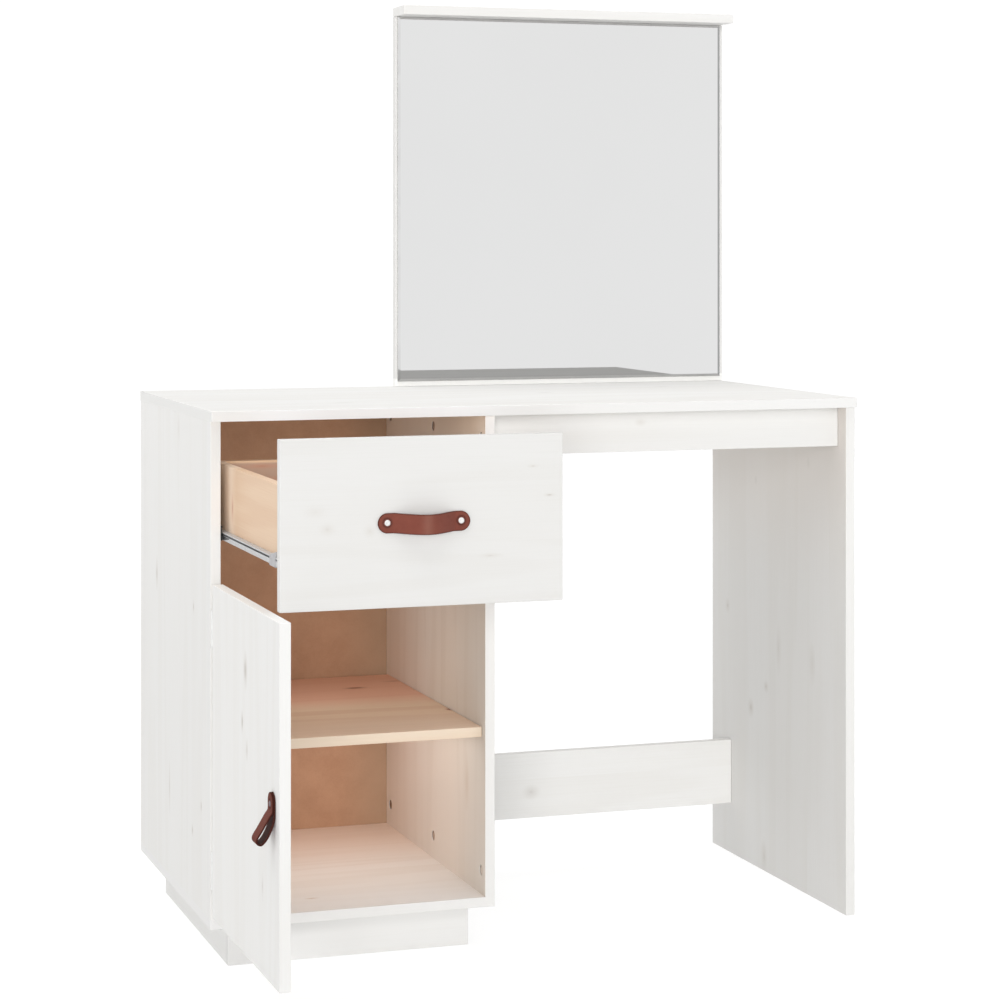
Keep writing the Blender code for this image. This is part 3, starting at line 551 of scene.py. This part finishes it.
# Back panel: brown hardboard, with pins round its edge at the back.
backLook = {
    "face": colour(0.535, 0.318, 0.200), "mottle": colour(0.445, 0.252, 0.152),
    "fades": [(0, -0.17, -0.075, colour(0.385, 0.275, 0.185), 0.63)],
    "mottleScale": 26.0, "mottleRange": (0.3, 0.75), "mottleShare": 0.7,
    "fluffScale": 420.0, "fluffRange": (0.4, 0.8), "fluffShare": 0.3,
    "roughness": 0.62, "bump": 0.15, "bumpDeep": 0.0002, "ease": (0.0004, 0.01),
    "pinSteel": (colour(0.66, 0.66, 0.67), 0.38),
    "pinRadius": 0.0022, "pinHeight": 0.0006, "pinInset": 0.008, "pinsHigh": 7, "pinsWide": 4,
}
hardboard, tree, shader = blank("hardboard", backLook["roughness"])
at = objectPlace(tree)
mottle = noise(tree, scaled(tree, at, (backLook["mottleScale"],) * 3), detail=5.0, roughness=0.65)
fluff = noise(tree, scaled(tree, at, (backLook["fluffScale"],) * 3), detail=3.0, roughness=0.6)
mottleMark = spanned(tree, mottle, *backLook["mottleRange"])
fluffMark = spanned(tree, fluff, *backLook["fluffRange"])
share = calc(tree, "MULTIPLY", mottleMark, backLook["mottleShare"])
share = calc(tree, "MULTIPLY_ADD", fluffMark, backLook["fluffShare"], share)
tone = mixed(tree, share, backLook["face"], backLook["mottle"])
tone = faded(tree, tone, put(tree, "ShaderNodeSeparateXYZ", {0: at}), backLook["fades"])
tree.links.new(tone, shader.inputs["Base Color"])
bumped(tree, shader, fluff, backLook["bump"], backLook["bumpDeep"])
bm = nodeCopy("cabinet_back_panel")
easeEdges(bm, *backLook["ease"])
finishPiece("cabinet_back_sheet", bm, [hardboard], "carcass", ["cabinet_back_panel"])

brightSteel = wornSteel("bright_steel", *backLook["pinSteel"], brushed=1)
low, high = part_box("cabinet_back_panel")
pinX = [low.x + backLook["pinInset"], high.x - backLook["pinInset"]]
pinZ = [low.z + backLook["pinInset"], high.z - backLook["pinInset"]]
pinPlaces = []
for i in range(backLook["pinsHigh"]):
    z = pinZ[0] + (pinZ[1] - pinZ[0]) * i / (backLook["pinsHigh"] - 1)
    pinPlaces += [(x, high.y, z) for x in pinX]
for i in range(1, backLook["pinsWide"]):
    x = pinX[0] + (pinX[1] - pinX[0]) * i / backLook["pinsWide"]
    pinPlaces += [(x, high.y, z) for z in pinZ]
bm = bmesh.new()
for place in pinPlaces:
    addPart(bm, domedHead(backLook["pinRadius"], backLook["pinHeight"]), place, (0, 1, 0))
finishPiece("cabinet_back_pins", bm, [brightSteel], "carcass")
print("back panel: sheet and", len(pinPlaces), "pins")


# Mirror: the glass keeps its CAD shape, and its steel plates get screws.
# Each bevel's silver is dimmed to a grey of its own, a painted reflection of darker or lighter parts of a
# room and of the cap's shade. Haze is (scale, tone).
mirrorLook = {
    "silver": colour(0.395, 0.395, 0.395), "roughness": 0.012, "haze": (3.0, 0.985),
    "bevelRoughness": 0.03, "bevelHaze": (40.0, 0.94), "bevelTilt": 0.1, "frontShare": 0.3,
    "bevelShades": {"left": (-1, 0, 0.375), "right": (1, 0, 0.19), "low": (0, -1, 0.54), "high": (0, 1, 0.70)},
    "rim": colour(0.620, 0.620, 0.610), "rimRoughness": 0.30,
    "plateScrewRadius": 0.004, "plateScrewHeight": 0.0016, "plateScrewHeights": (0.006, 0.032, 0.062),
    "plateScrewShares": (0.25, 0.75), "plateEase": (0.0005, 0.001),
}


def silvered(name, tone, roughness, hazeScale, hazeTone):
    made, tree, shader = blank(name, roughness, 1.0)
    haze = noise(tree, scaled(tree, objectPlace(tree), (hazeScale,) * 3), detail=4.0)
    hazed = mixed(tree, spanned(tree, haze, low=0.3, high=0.7), tone, dimmed(tone, hazeTone))
    tree.links.new(hazed, shader.inputs["Base Color"])
    return made


bevelRoughness, bevelHaze = mirrorLook["bevelRoughness"], mirrorLook["bevelHaze"]
frontShare = mirrorLook["frontShare"]
glassMaterials = [
    silvered("silvered_glass", mirrorLook["silver"], mirrorLook["roughness"], *mirrorLook["haze"]),
]
bm = nodeCopy("mirror_glass")
for tilt, (toX, toZ, grey) in mirrorLook["bevelShades"].items():
    glassMaterials.append(
        silvered(f"mirror_bevel_{tilt}", colour(grey, grey, grey), bevelRoughness, *bevelHaze)
    )
    for face in bm.faces:
        turned = face.normal.x * toX + face.normal.z * toZ
        if face.normal.y < -frontShare and turned > mirrorLook["bevelTilt"]:
            face.material_index = len(glassMaterials) - 1
glassMaterials.append(silvered("mirror_rim", mirrorLook["rim"], mirrorLook["rimRoughness"], *bevelHaze))
for face in bm.faces:
    if abs(face.normal.y) < frontShare:
        face.material_index = len(glassMaterials) - 1
finishPiece("mirror_glass_silvered", bm, glassMaterials, "carcass", ["mirror_glass"])

for side in ("left", "right"):
    plate = f"mirror_plate_{side}"
    bm = nodeCopy(plate)
    easeEdges(bm, *mirrorLook["plateEase"])
    finishPiece(plate + "_steel", bm, [brightSteel], "carcass", [plate])
    low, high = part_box(plate)
    bm = bmesh.new()
    for share in mirrorLook["plateScrewShares"]:
        for height in mirrorLook["plateScrewHeights"]:
            head = domedHead(mirrorLook["plateScrewRadius"], mirrorLook["plateScrewHeight"])
            addPart(bm, head, (low.x + (high.x - low.x) * share, high.y, low.z + height), (0, 1, 0))
    finishPiece(plate + "_screws", bm, [brightSteel], "carcass")
print("mirror: glass, plates and screws")


# Runners: the painted channel on the drawer with its clip, and the rail in the cabinet with a black roller.
# flush is how near a vertex lies to the clip's outer face, its back and its top.
runnerLook = {
    "ease": (0.0003, 0.004), "flush": (0.00005, 0.0002, 0.0001),
    "paint": (colour(0.50, 0.50, 0.505), 0.42), "rail": (colour(0.50, 0.50, 0.51), 0.42),
    "clip": (colour(0.42, 0.415, 0.425), 0.5), "black": (colour(0.012, 0.012, 0.013), 0.5),
    "clipFrom": 0.0090, "clipTo": 0.0425, "clipRound": 0.0018, "clipSlope": 0.0060,
    "clipProud": 0.0004, "clipFoot": 0.0024, "clipHead": 0.0068,
    "stripFrom": 0.267, "stripLong": 0.034, "stripThick": 0.0006, "stripEase": (0.00015, 0.0005),
    "stripLow": 0.5770, "stripHigh": 0.5827, "stripTip": 0.0012,
}
rollerLook = {
    "plateThick": 0.0013, "plateLong": 0.0110, "plateLow": 0.5770, "plateHigh": 0.5972,
    "wheelRadius": 0.0048, "wheelHeight": 0.5808, "pegRadius": 0.0017, "pegHeight": 0.5947, "reach": 0.0017,
    "ease": (0.0003, 0.001),
}
channelPaint = moulded("runner_paint", *runnerLook["paint"])
zincRail = wornSteel("zinc_runner", *runnerLook["rail"], brushed=1)
clipPlastic = moulded("clip_plastic", *runnerLook["clip"])
blackPlastic = moulded("black_plastic", *runnerLook["black"])


def wheel(radius, length):
    return spun((
        (0.0, length), (radius * 0.3, length), (radius * 0.34, length * 0.7), (radius * 0.62, length * 0.7),
        (radius * 0.66, length), (radius * 0.92, length), (radius, length * 0.8), (radius, 0.0), (0.0, 0.0),
    ))


flushX, flushY, flushZ = runnerLook["flush"]
for side, outward in (("left", -1), ("right", 1)):
    channel = f"drawer_channel_{side}"
    bm = nodeCopy(channel)
    low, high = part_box(channel)
    outerX = low.x if outward < 0 else high.x
    clipFrom = low.y + runnerLook["clipFrom"]
    clipTo = low.y + runnerLook["clipTo"]
    clipVerts = {
        v for v in bm.verts
        if clipFrom < v.co.y < clipTo and (abs(v.co.x - outerX) < flushX or v.co.z > high.z - flushZ)
    }
    clipBack = max(v.co.y for v in clipVerts)
    for vert in clipVerts:
        if vert.co.y > clipBack - flushY and vert.co.z > high.z - flushZ:
            vert.co.z -= runnerLook["clipSlope"]
    clipEdges = [e for e in bm.edges if clipVerts.issuperset(e.verts) and e.is_convex]
    rounded(bm, clipEdges, runnerLook["clipRound"], segments=3)
    easeEdges(bm, *runnerLook["ease"])
    slotLow = low.z + runnerLook["clipFoot"]
    slotHigh = high.z - runnerLook["clipHead"]
    for face in bm.faces:
        middle = face.calc_center_median()
        proud = abs(middle.x - outerX) < runnerLook["clipProud"] or not slotLow < middle.z < slotHigh
        if clipFrom < middle.y < clipTo and proud:
            face.material_index = 1
    finishPiece(channel + "_profile", bm, [channelPaint, clipPlastic], "drawer", [channel])

    # a thin black strip tapers along the lip under the slot
    part = bmesh.new()
    bmesh.ops.create_cube(part, size=1.0)
    stripTall = runnerLook["stripHigh"] - runnerLook["stripLow"]
    stripSize = (runnerLook["stripThick"], runnerLook["stripLong"], stripTall)
    bmesh.ops.scale(part, vec=stripSize, verts=part.verts)
    for vert in part.verts:
        if vert.co.y < 0 and vert.co.z < 0:
            vert.co.z = stripTall / 2 - runnerLook["stripTip"]
    easeEdges(part, *runnerLook["stripEase"])
    stripX = outerX - outward * runnerLook["stripThick"] / 2
    stripY = low.y + runnerLook["stripFrom"] + runnerLook["stripLong"] / 2
    bm = bmesh.new()
    addPart(bm, part, (stripX, stripY, runnerLook["stripLow"] + stripTall / 2), (0, 0, 1))
    finishPiece(channel + "_dark_strip", bm, [blackPlastic], "drawer")

    rail = f"cabinet_rail_{side}"
    bm = nodeCopy(rail)
    easeEdges(bm, *runnerLook["ease"])
    finishPiece(rail + "_profile", bm, [zincRail], "carcass", [rail])

    # the roller stands on the panel, before the rail at the left and on its base at the right
    low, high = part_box(rail)
    wallX = low.x if outward < 0 else high.x
    plateMiddle = low.y - rollerLook["plateLong"] / 2 if outward < 0 else low.y + rollerLook["plateLong"]
    plateX = wallX - outward * rollerLook["plateThick"] / 2
    plateFace = wallX - outward * rollerLook["plateThick"]
    part = bmesh.new()
    bmesh.ops.create_cube(part, size=1.0)
    plateTall = rollerLook["plateHigh"] - rollerLook["plateLow"]
    plateSize = (rollerLook["plateThick"], rollerLook["plateLong"], plateTall)
    bmesh.ops.scale(part, vec=plateSize, verts=part.verts)
    easeEdges(part, *rollerLook["ease"])
    bm = bmesh.new()
    addPart(bm, part, (plateX, plateMiddle, rollerLook["plateLow"] + plateTall / 2), (0, 0, 1))
    for name in ("wheel", "peg"):
        disc = wheel(rollerLook[name + "Radius"], rollerLook["reach"])
        addPart(bm, disc, (plateFace, plateMiddle, rollerLook[name + "Height"]), (-outward, 0, 0))
    finishPiece(rail + "_roller", bm, [blackPlastic], "carcass")
print("runners: channels, rails and rollers")


# Pull screws: enamelled heads with a shallow dish, white on the drawer, and painted dark grey on the door:
# painted shade on a head seen from the side.
screwLook = {
    "radius": 0.0039, "head": 0.0022, "shank": 0.0020, "doorSink": 0.0012,
    "white": (colour(0.82, 0.82, 0.81), 0.3), "paintedLight": (colour(0.17, 0.135, 0.145), 0.6),
}
whiteEnamel = moulded("white_enamel", *screwLook["white"])
shadedEnamel = moulded("worn_enamel", *screwLook["paintedLight"])
for nodeName, axis, body, enamel, sink in (
    ("drawer_pull_screw_left", 1, "drawer", whiteEnamel, 0.0),
    ("drawer_pull_screw_right", 1, "drawer", whiteEnamel, 0.0),
    ("door_pull_screw", 0, "door", shadedEnamel, screwLook["doorSink"]),
):
    low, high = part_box(nodeName)
    crown = (low + high) / 2
    crown[axis] = low[axis] + sink
    outward = Vector((0, 0, 0))
    outward[axis] = -1
    length = high[axis] - crown[axis]
    r, h = screwLook["radius"], screwLook["head"]
    profile = (
        (0.0, -0.0005), (r * 0.30, -0.0004), (r * 0.42, -0.0001), (r * 0.62, -h * 0.10),
        (r * 0.82, -h * 0.30), (r * 0.95, -h * 0.60), (r, -h * 0.9), (r * 0.97, -h),
        (screwLook["shank"], -h), (screwLook["shank"], -length), (0.0, -length),
    )
    bm = bmesh.new()
    addPart(bm, spun(profile), crown, outward)
    finishPiece(nodeName + "_enamel", bm, [enamel], body, [nodeName])
print("pull screws: three")


# Cam fasteners: a thick disc with a cross recess and the open side of the cam. Their colours are painted
# shade, darker towards the back of the cupboard and darkest in the open side.
camLook = {
    "radius": 0.0071, "thick": 0.0070, "sink": 0.0005, "cross": 0.0008, "crossDeep": 0.0006,
    "openWide": 0.0030, "openHalf": 85.0, "sides": 36, "armShare": 0.9, "roughness": 0.6,
    "rows": {
        "front": {"face": colour(0.60, 0.54, 0.48), "openShade": colour(0.36, 0.31, 0.27), "deep": 0.0006},
        "middle": {"face": colour(0.46, 0.34, 0.27), "openShade": colour(0.15, 0.09, 0.07), "deep": 0.0018},
        "back": {"face": colour(0.26, 0.15, 0.09), "openShade": colour(0.10, 0.05, 0.03), "deep": 0.0040},
    },
}


def press(part, faces, depth, material):
    sunk = bmesh.ops.extrude_face_region(part, geom=faces)["geom"]
    bmesh.ops.delete(part, geom=faces, context="FACES_ONLY")
    for item in sunk:
        if isinstance(item, bmesh.types.BMVert):
            item.co.z -= depth
        if isinstance(item, bmesh.types.BMFace):
            item.material_index = material


def camDisc(openDeep):
    part = bmesh.new()
    bmesh.ops.create_cone(
        part, cap_ends=True, segments=camLook["sides"], radius1=camLook["radius"], radius2=camLook["radius"],
        depth=camLook["thick"], matrix=Matrix.Translation((0, 0, -camLook["thick"] / 2)),
    )
    cap = max(part.faces, key=lambda face: face.calc_center_median().z)
    before = set(part.faces)
    bmesh.ops.inset_individual(part, faces=[cap], thickness=camLook["openWide"])
    opened = []
    for face in part.faces:
        middle = face.calc_center_median()
        if face not in before and abs(math.degrees(math.atan2(middle.x, middle.y))) < camLook["openHalf"]:
            opened.append(face)
    press(part, opened, openDeep, 1)
    geom = [cap] + list(cap.edges) + list(cap.verts)
    for axis in ((1, 0, 0), (0, 1, 0)):
        for side in (-1, 1):
            place = Vector(axis) * camLook["cross"] * side
            geom = bmesh.ops.bisect_plane(part, geom=geom, plane_co=place, plane_no=axis)["geom"]
    arms = []
    for item in geom:
        if isinstance(item, bmesh.types.BMFace):
            middle = item.calc_center_median()
            if min(abs(middle.x), abs(middle.y)) < camLook["cross"] * camLook["armShare"]:
                arms.append(item)
    press(part, arms, camLook["crossDeep"], 0)
    return part


camNames = sorted(n for n in nodes if n.startswith("cam_"))
for row, look in camLook["rows"].items():
    bm = bmesh.new()
    rowNames = [n for n in camNames if n.endswith(row)]
    for nodeName in rowNames:
        low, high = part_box(nodeName)
        inward = 1 if "_left_" in nodeName else -1
        centre = (low + high) / 2
        centre.x = (high.x if inward > 0 else low.x) - inward * camLook["sink"]
        addPart(bm, camDisc(look["deep"]), centre, (inward, 0, 0))
    materials = [moulded(f"cam_{row}_{key}", look[key], camLook["roughness"]) for key in ("face", "openShade")]
    finishPiece(f"cams_{row}", bm, materials, "carcass", rowNames)
print("cam fasteners:", len(camNames))


# Leather straps. A flat grid gets round ends and rounded edges, and is then laid along its path.
# Its edges are burnt dark. The rings that the screws press in and its back are painted darker, painted shade,
# and its bow gets a pale painted highlight.
leatherLook = {
    "light": colour(0.205, 0.060, 0.041), "dark": colour(0.150, 0.041, 0.029),
    "rim": colour(0.060, 0.019, 0.015), "paintedLight": colour(0.300, 0.150, 0.112),
    "roughness": 0.52, "roughSpread": 0.25, "roughDrop": 0.12, "bump": 0.22, "bumpDeep": 0.0003,
    "pores": 1150.0, "wrinkle": 230.0, "wrinkleDeep": 0.8, "blotch": 38.0,
    "rimWide": 0.0018, "rimBurn": 0.85, "edge": 0.0008, "sheenWide": 0.0066,
    "ring": 0.0056, "ringWide": 0.0011, "ringDeep": 0.0004, "ringShade": 0.7,
    "cell": 0.0005, "endGap": 0.00012,
}


def strapLeather(name, share, shine):
    made, tree, shader = blank(name, leatherLook["roughness"])
    at = objectPlace(tree)
    light = dimmed(leatherLook["light"], share)
    dark = dimmed(leatherLook["dark"], share)
    pores = put(
        tree, "ShaderNodeTexVoronoi", {"Vector": at, "Scale": leatherLook["pores"]},
        feature="DISTANCE_TO_EDGE",
    ).outputs["Distance"]
    wrinkleAt = scaled(tree, at, (leatherLook["wrinkle"],) * 3)
    wrinkle = noise(tree, wrinkleAt, detail=5.0, roughness=0.65, distortion=0.4)
    blotch = noise(tree, scaled(tree, at, (leatherLook["blotch"],) * 3), detail=3.0, roughness=0.6)
    tone = mixed(tree, spanned(tree, blotch, low=0.3, high=0.8, newHigh=0.5), light, dark)
    tone = mixed(tree, spanned(tree, wrinkle, low=0.5, high=0.8, newHigh=0.35), tone, dark)
    # a painted highlight on the bow, then the burnt rim, with painted shade at the screw rings and on the
    # back
    for mark, tint in (("paintedLight", leatherLook["paintedLight"]), ("burnAndShade", dimmed(leatherLook["rim"], share))):
        depth = put(tree, "ShaderNodeAttribute", attribute_name=mark).outputs["Fac"]
        tone = mixed(tree, depth, tone, tint)
    tree.links.new(tone, shader.inputs["Base Color"])
    smoothest = leatherLook["roughness"] - leatherLook["roughDrop"]
    rough = calc(tree, "MULTIPLY_ADD", wrinkle, leatherLook["roughSpread"], smoothest)
    tree.links.new(rough, shader.inputs["Roughness"])
    poreHeight = spanned(tree, pores, low=0.0, high=0.25, newHigh=0.6)
    height = calc(tree, "MULTIPLY_ADD", wrinkle, leatherLook["wrinkleDeep"], poreHeight)
    bumped(tree, shader, height, leatherLook["bump"], leatherLook["bumpDeep"])
    shader.inputs["Specular IOR Level"].default_value = shine
    return made


# even steps along a smooth curve through the points
def smoothPath(points, cell, fineSteps=16):
    path = [Vector(p) for p in points]
    fine = []
    for i in range(len(path) - 1):
        start, end = path[i], path[i + 1]
        before, after = path[max(i - 1, 0)], path[min(i + 2, len(path) - 1)]
        for step in range(fineSteps):
            t = step / fineSteps
            fine.append(0.5 * (
                2 * start + (end - before) * t + (2 * before - 5 * start + 4 * end - after) * t * t
                + (3 * start - before - 3 * end + after) * t ** 3
            ))
    fine.append(path[-1])
    reach = [0.0]
    for a, b in zip(fine, fine[1:]):
        reach.append(reach[-1] + (b - a).length)
    length = reach[-1]
    count = int(length / cell)
    even, j = [], 0
    for i in range(count + 1):
        goal = length * i / count
        while j < len(reach) - 2 and reach[j + 1] < goal:
            j += 1
        even.append(fine[j].lerp(fine[j + 1], (goal - reach[j]) / max(reach[j + 1] - reach[j], 1e-9)))
    return even, length


def layStrap(name, points, look, screwsAt, toPlace, body, nodeName):
    path, length = smoothPath(points, leatherLook["cell"])
    columns = len(path) - 1
    half = look["height"] / 2
    bm = bmesh.new()
    bmesh.ops.create_grid(bm, x_segments=columns, y_segments=int(2 * half / leatherLook["cell"]), size=0.5)
    burnShadeLayer = bm.verts.layers.float.new("burnAndShade")
    sheenLayer = bm.verts.layers.float.new("paintedLight")
    back = set(bm.verts)
    bmesh.ops.extrude_face_region(bm, geom=bm.faces[:])
    for vert in bm.verts:
        outer = vert not in back
        column = round((vert.co.x + 0.5) * columns)
        along = max(min(length * column / columns, length - leatherLook["endGap"]), leatherLook["endGap"])
        toEnd = min(along, length - along)
        reach = half if toEnd >= half else math.sqrt(half * half - (half - toEnd) ** 2)
        across = vert.co.y * 2 * reach
        inside = max(half - math.hypot(max(half - toEnd, 0.0), across), 0.0)
        burnAndShade = leatherLook["rimBurn"] * max(0.0, 1 - inside / leatherLook["rimWide"])
        # the back of the strap is painted darker: painted shade
        if not outer:
            burnAndShade = max(burnAndShade, look["innerShade"])
        lift = look["thick"] / 2
        if inside < leatherLook["edge"]:
            lost = 1 - inside / leatherLook["edge"]
            lift -= leatherLook["edge"] * (1 - math.sqrt(max(0.0, 1 - lost * lost)))
        if outer:
            # round each screw a pressed ring, painted darker as painted shade in the dent
            for screw in screwsAt:
                away = math.hypot(along - (screw if screw >= 0 else length + screw), across - look["screwUp"])
                mark = math.exp(-(((away - leatherLook["ring"]) / leatherLook["ringWide"]) ** 2))
                lift -= leatherLook["ringDeep"] * mark
                burnAndShade = max(burnAndShade, leatherLook["ringShade"] * mark)
        vert[burnShadeLayer] = burnAndShade
        # a pale band round the middle of the bow: a painted highlight
        fromBow = (along - length / 2 - look["sheenShift"]) / leatherLook["sheenWide"]
        vert[sheenLayer] = look["paintedLight"] * math.exp(-(fromBow ** 2))
        run = (path[min(column + 1, columns)] - path[max(column - 1, 0)]).normalized()
        spot = path[column] + Vector((-run.y, run.x)) * (lift if outer else -lift)
        vert.co = toPlace(spot.x, spot.y, across)
    bmesh.ops.recalc_face_normals(bm, faces=bm.faces)
    for face in bm.faces:
        face.smooth = True
    leather = strapLeather(nodeName + "_leather", look["tone"], look["shine"])
    finishPiece(name, bm, [leather], body, [nodeName])


# Drawer pull: bowed out between its two screws.
drawerPull = {
    "length": 0.120, "height": 0.0252, "thick": 0.0026, "screw": 0.012, "screwUp": 0.0006,
    "bow": 0.0195, "sag": 0.0015, "tab": 0.0195, "fullness": 1.25, "steps": 60,
    "tone": 0.97, "shine": 0.16, "innerShade": 0.3, "paintedLight": 0.32, "sheenShift": -0.0010,
}
low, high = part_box("drawer_pull")
pullMiddle = Vector((
    (low.x + high.x) / 2, high.y - drawerPull["thick"] / 2, high.z - drawerPull["height"] / 2,
))
bowHalf = drawerPull["length"] / 2 - drawerPull["tab"]


def bowLift(x):
    if abs(x) >= bowHalf:
        return 0.0
    return abs(math.sin(math.pi * (x + bowHalf) / (2 * bowHalf))) ** drawerPull["fullness"]


def onDrawer(x, out, across):
    return pullMiddle + Vector((x, -out, across - drawerPull["sag"] * bowLift(x)))


bowSteps = range(drawerPull["steps"] + 1)
bowX = [drawerPull["length"] * (i / drawerPull["steps"] - 0.5) for i in bowSteps]
bowPath = [(x, drawerPull["bow"] * bowLift(x)) for x in bowX]
drawerScrews = (drawerPull["screw"], -drawerPull["screw"])
layStrap("drawer_pull_strap", bowPath, drawerPull, drawerScrews, onDrawer, "drawer", "drawer_pull")

# Door pull: folded to a loop with both ends under one screw.
# The path is (out from the door, height from the screw), and starts at the outer end.
doorPull = {
    "height": 0.024, "thick": 0.002, "gap": 0.0003, "reach": 0.0244,
    "rise": 0.0140, "lap": 0.004, "screwUp": 0.0,
    "close": ((0.0, -0.006), (0.0006, -0.0095)),
    "down": ((0.0160, -0.014), (0.0112, -0.022), (0.0058, -0.031), (0.0010, -0.0385), (0.0, -0.0425),
             (0.0014, -0.0458)),
    "up": ((0.0168, -0.0470), (0.0133, -0.0448), (0.0094, -0.040), (0.0056, -0.033), (0.0028, -0.026),
           (0.0009, -0.019), (0.0, -0.012)),
    # tone sets this strap darker than the drawer's: painted shade on a strap seen from the side
    "tone": 0.66, "shine": 0.02, "innerShade": 0.5, "paintedLight": 0.0, "sheenShift": 0.0,
}
low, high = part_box("door_pull_screw")
screwMiddle = (low + high) / 2
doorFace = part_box("door_pull")[1].x + doorPull["gap"]
near = doorPull["gap"] + doorPull["thick"] / 2
far = 2 * doorPull["gap"] + doorPull["thick"] * 1.5
furthest = doorPull["reach"] - doorPull["thick"] / 2


def onDoor(out, height, across):
    return Vector((doorFace - out, screwMiddle.y + across, screwMiddle.z + height))


loopPath = [(far, doorPull["rise"]), (far, doorPull["lap"])]
loopPath += [(far + out, height) for out, height in doorPull["close"]]
loopPath += [(furthest - back, height) for back, height in doorPull["down"]]
loopPath += [(near + out, height) for out, height in doorPull["up"]]
loopPath += [(near, doorPull["lap"]), (near, doorPull["rise"])]
doorScrews = (doorPull["rise"], -doorPull["rise"])
layStrap("door_pull_strap", loopPath, doorPull, doorScrews, onDoor, "door", "door_pull")
print("leather straps: two")


# Hinges and shelf pins keep their CAD shape.
hardwareLook = {"hinge": (colour(0.76, 0.76, 0.75), 0.4), "pin": (colour(0.60, 0.59, 0.57), 0.34)}
hingePaint = moulded("hinge_paint", *hardwareLook["hinge"])
nickel = wornSteel("nickel_pin", *hardwareLook["pin"], brushed=0)
for nodeName in nodes:
    if nodeName.startswith(("hinge_", "shelf_pin_")):
        nodes[nodeName].data.materials.clear()
        nodes[nodeName].data.materials.append(hingePaint if nodeName.startswith("hinge_") else nickel)
print("hinges painted, shelf pins in nickel")


# Stage: pale floor, soft light, and the photograph's view.
stageLook = {
    "floorHalf": 8.0, "floorSides": 96, "floorPlace": (0, 0.3, -0.0006), "floorRoughness": 0.8,
    "floorTone": colour(0.36, 0.36, 0.36), "floorGlow": 0.52, "floorSeen": 0.26,
    "sky": 0.45, "skySeen": 1.06, "skyMirrored": 1.967, "sunPlace": (0, 0, 3),
}
bm = bmesh.new()
bmesh.ops.create_circle(bm, cap_ends=True, segments=stageLook["floorSides"], radius=stageLook["floorHalf"])
bmesh.ops.translate(bm, verts=bm.verts, vec=stageLook["floorPlace"])
mesh = bpy.data.meshes.new("floor")
bm.to_mesh(mesh)
bm.free()
floor = bpy.data.objects.new("floor", mesh)
bpy.context.scene.collection.objects.link(floor)
floorPaint, tree, shader = blank("floor_paint", stageLook["floorRoughness"])
shader.inputs["Base Color"].default_value = stageLook["floorTone"]
shader.inputs["Emission Color"].default_value = colour(1, 1, 1)
shader.inputs["Specular IOR Level"].default_value = 0.0
rays = put(tree, "ShaderNodeLightPath")
seen = calc(tree, "MULTIPLY", rays.outputs["Is Camera Ray"], stageLook["floorSeen"])
glow = calc(tree, "ADD", seen, stageLook["floorGlow"])
tree.links.new(glow, shader.inputs["Emission Strength"])
mesh.materials.append(floorPaint)

world = bpy.data.worlds.new("studio")
bpy.context.scene.world = world
world.use_nodes = True
tree = world.node_tree
sky = tree.nodes["Background"]
sky.inputs["Color"].default_value = colour(1, 1, 1)
rays = put(tree, "ShaderNodeLightPath")
strength = stageLook["sky"]
for ray, seen in (("Is Camera Ray", "skySeen"), ("Is Glossy Ray", "skyMirrored")):
    strength = calc(tree, "MULTIPLY_ADD", rays.outputs[ray], stageLook[seen] - stageLook["sky"], strength)
tree.links.new(strength, sky.inputs["Strength"])


def addLamp(name, kind, power, place, towards):
    light = bpy.data.lights.new(name, kind)
    light.energy = power
    lamp = bpy.data.objects.new(name, light)
    bpy.context.scene.collection.objects.link(lamp)
    lamp.location = place
    lamp.rotation_euler = Vector(towards).to_track_quat("-Z", "Y").to_euler()
    lamp.visible_glossy = False
    lamp.visible_camera = False
    return light


suns = {
    "camera_side_light": {"towards": (0.33, 0.94, -0.10), "spread": 24, "power": 1.55},
    "left_light": {"towards": (0.95, 0.20, -0.22), "spread": 40, "power": 0.32},
    "top_light": {"towards": (0.2, 0.1, -0.97), "spread": 60, "power": 1.45},
}
for name, look in suns.items():
    sun = addLamp(name, "SUN", look["power"], stageLook["sunPlace"], look["towards"])
    sun.angle = math.radians(look["spread"])

# fills: in the planes of the shut door and the shut drawer, under the shelf, and a soft ball above the shelf
fillPanels = {
    "cupboard_fill": {
        "place": (-0.2635, -0.05515, 0.403), "towards": (0, 1, 0), "size": (0.370, 0.66), "power": 0.21,
    },
    "drawer_mouth_fill": {
        "place": (-0.2635, -0.0500, 0.711), "towards": (0, 1, 0), "size": (0.360, 0.034), "power": 0.014,
    },
    "shelf_fill": {
        "place": (-0.2635, 0.17, 0.286), "towards": (0, 0, -1), "size": (0.340, 0.40), "power": 0.36,
    },
}
for name, look in fillPanels.items():
    light = addLamp(name, "AREA", look["power"], look["place"], look["towards"])
    light.shape = "RECTANGLE"
    light.size, light.size_y = look["size"]
ballFill = {"place": (-0.2635, 0.20, 0.46), "power": 0.25, "radius": 0.07}
ball = addLamp("ball_fill", "POINT", ballFill["power"], ballFill["place"], (0, 1, 0))
ball.shadow_soft_size = ballFill["radius"]

cameraLook = {
    "place": (-1.22131, -3.50844, 0.98049), "turn": -18.65,
    "lens": 94.844, "sensor": 36, "shift": -0.26165, "sees": 200,
}
camera = bpy.data.objects.new("camera", bpy.data.cameras.new("camera"))
bpy.context.scene.collection.objects.link(camera)
camera.location = cameraLook["place"]
camera.rotation_euler = (math.radians(90), 0, math.radians(cameraLook["turn"]))
camera.data.sensor_width = cameraLook["sensor"]
camera.data.lens = cameraLook["lens"]
camera.data.shift_y = cameraLook["shift"]
camera.data.clip_end = cameraLook["sees"]
bpy.context.scene.camera = camera
bpy.context.scene.view_settings.view_transform = "Standard"
print("stage: floor, light and camera")
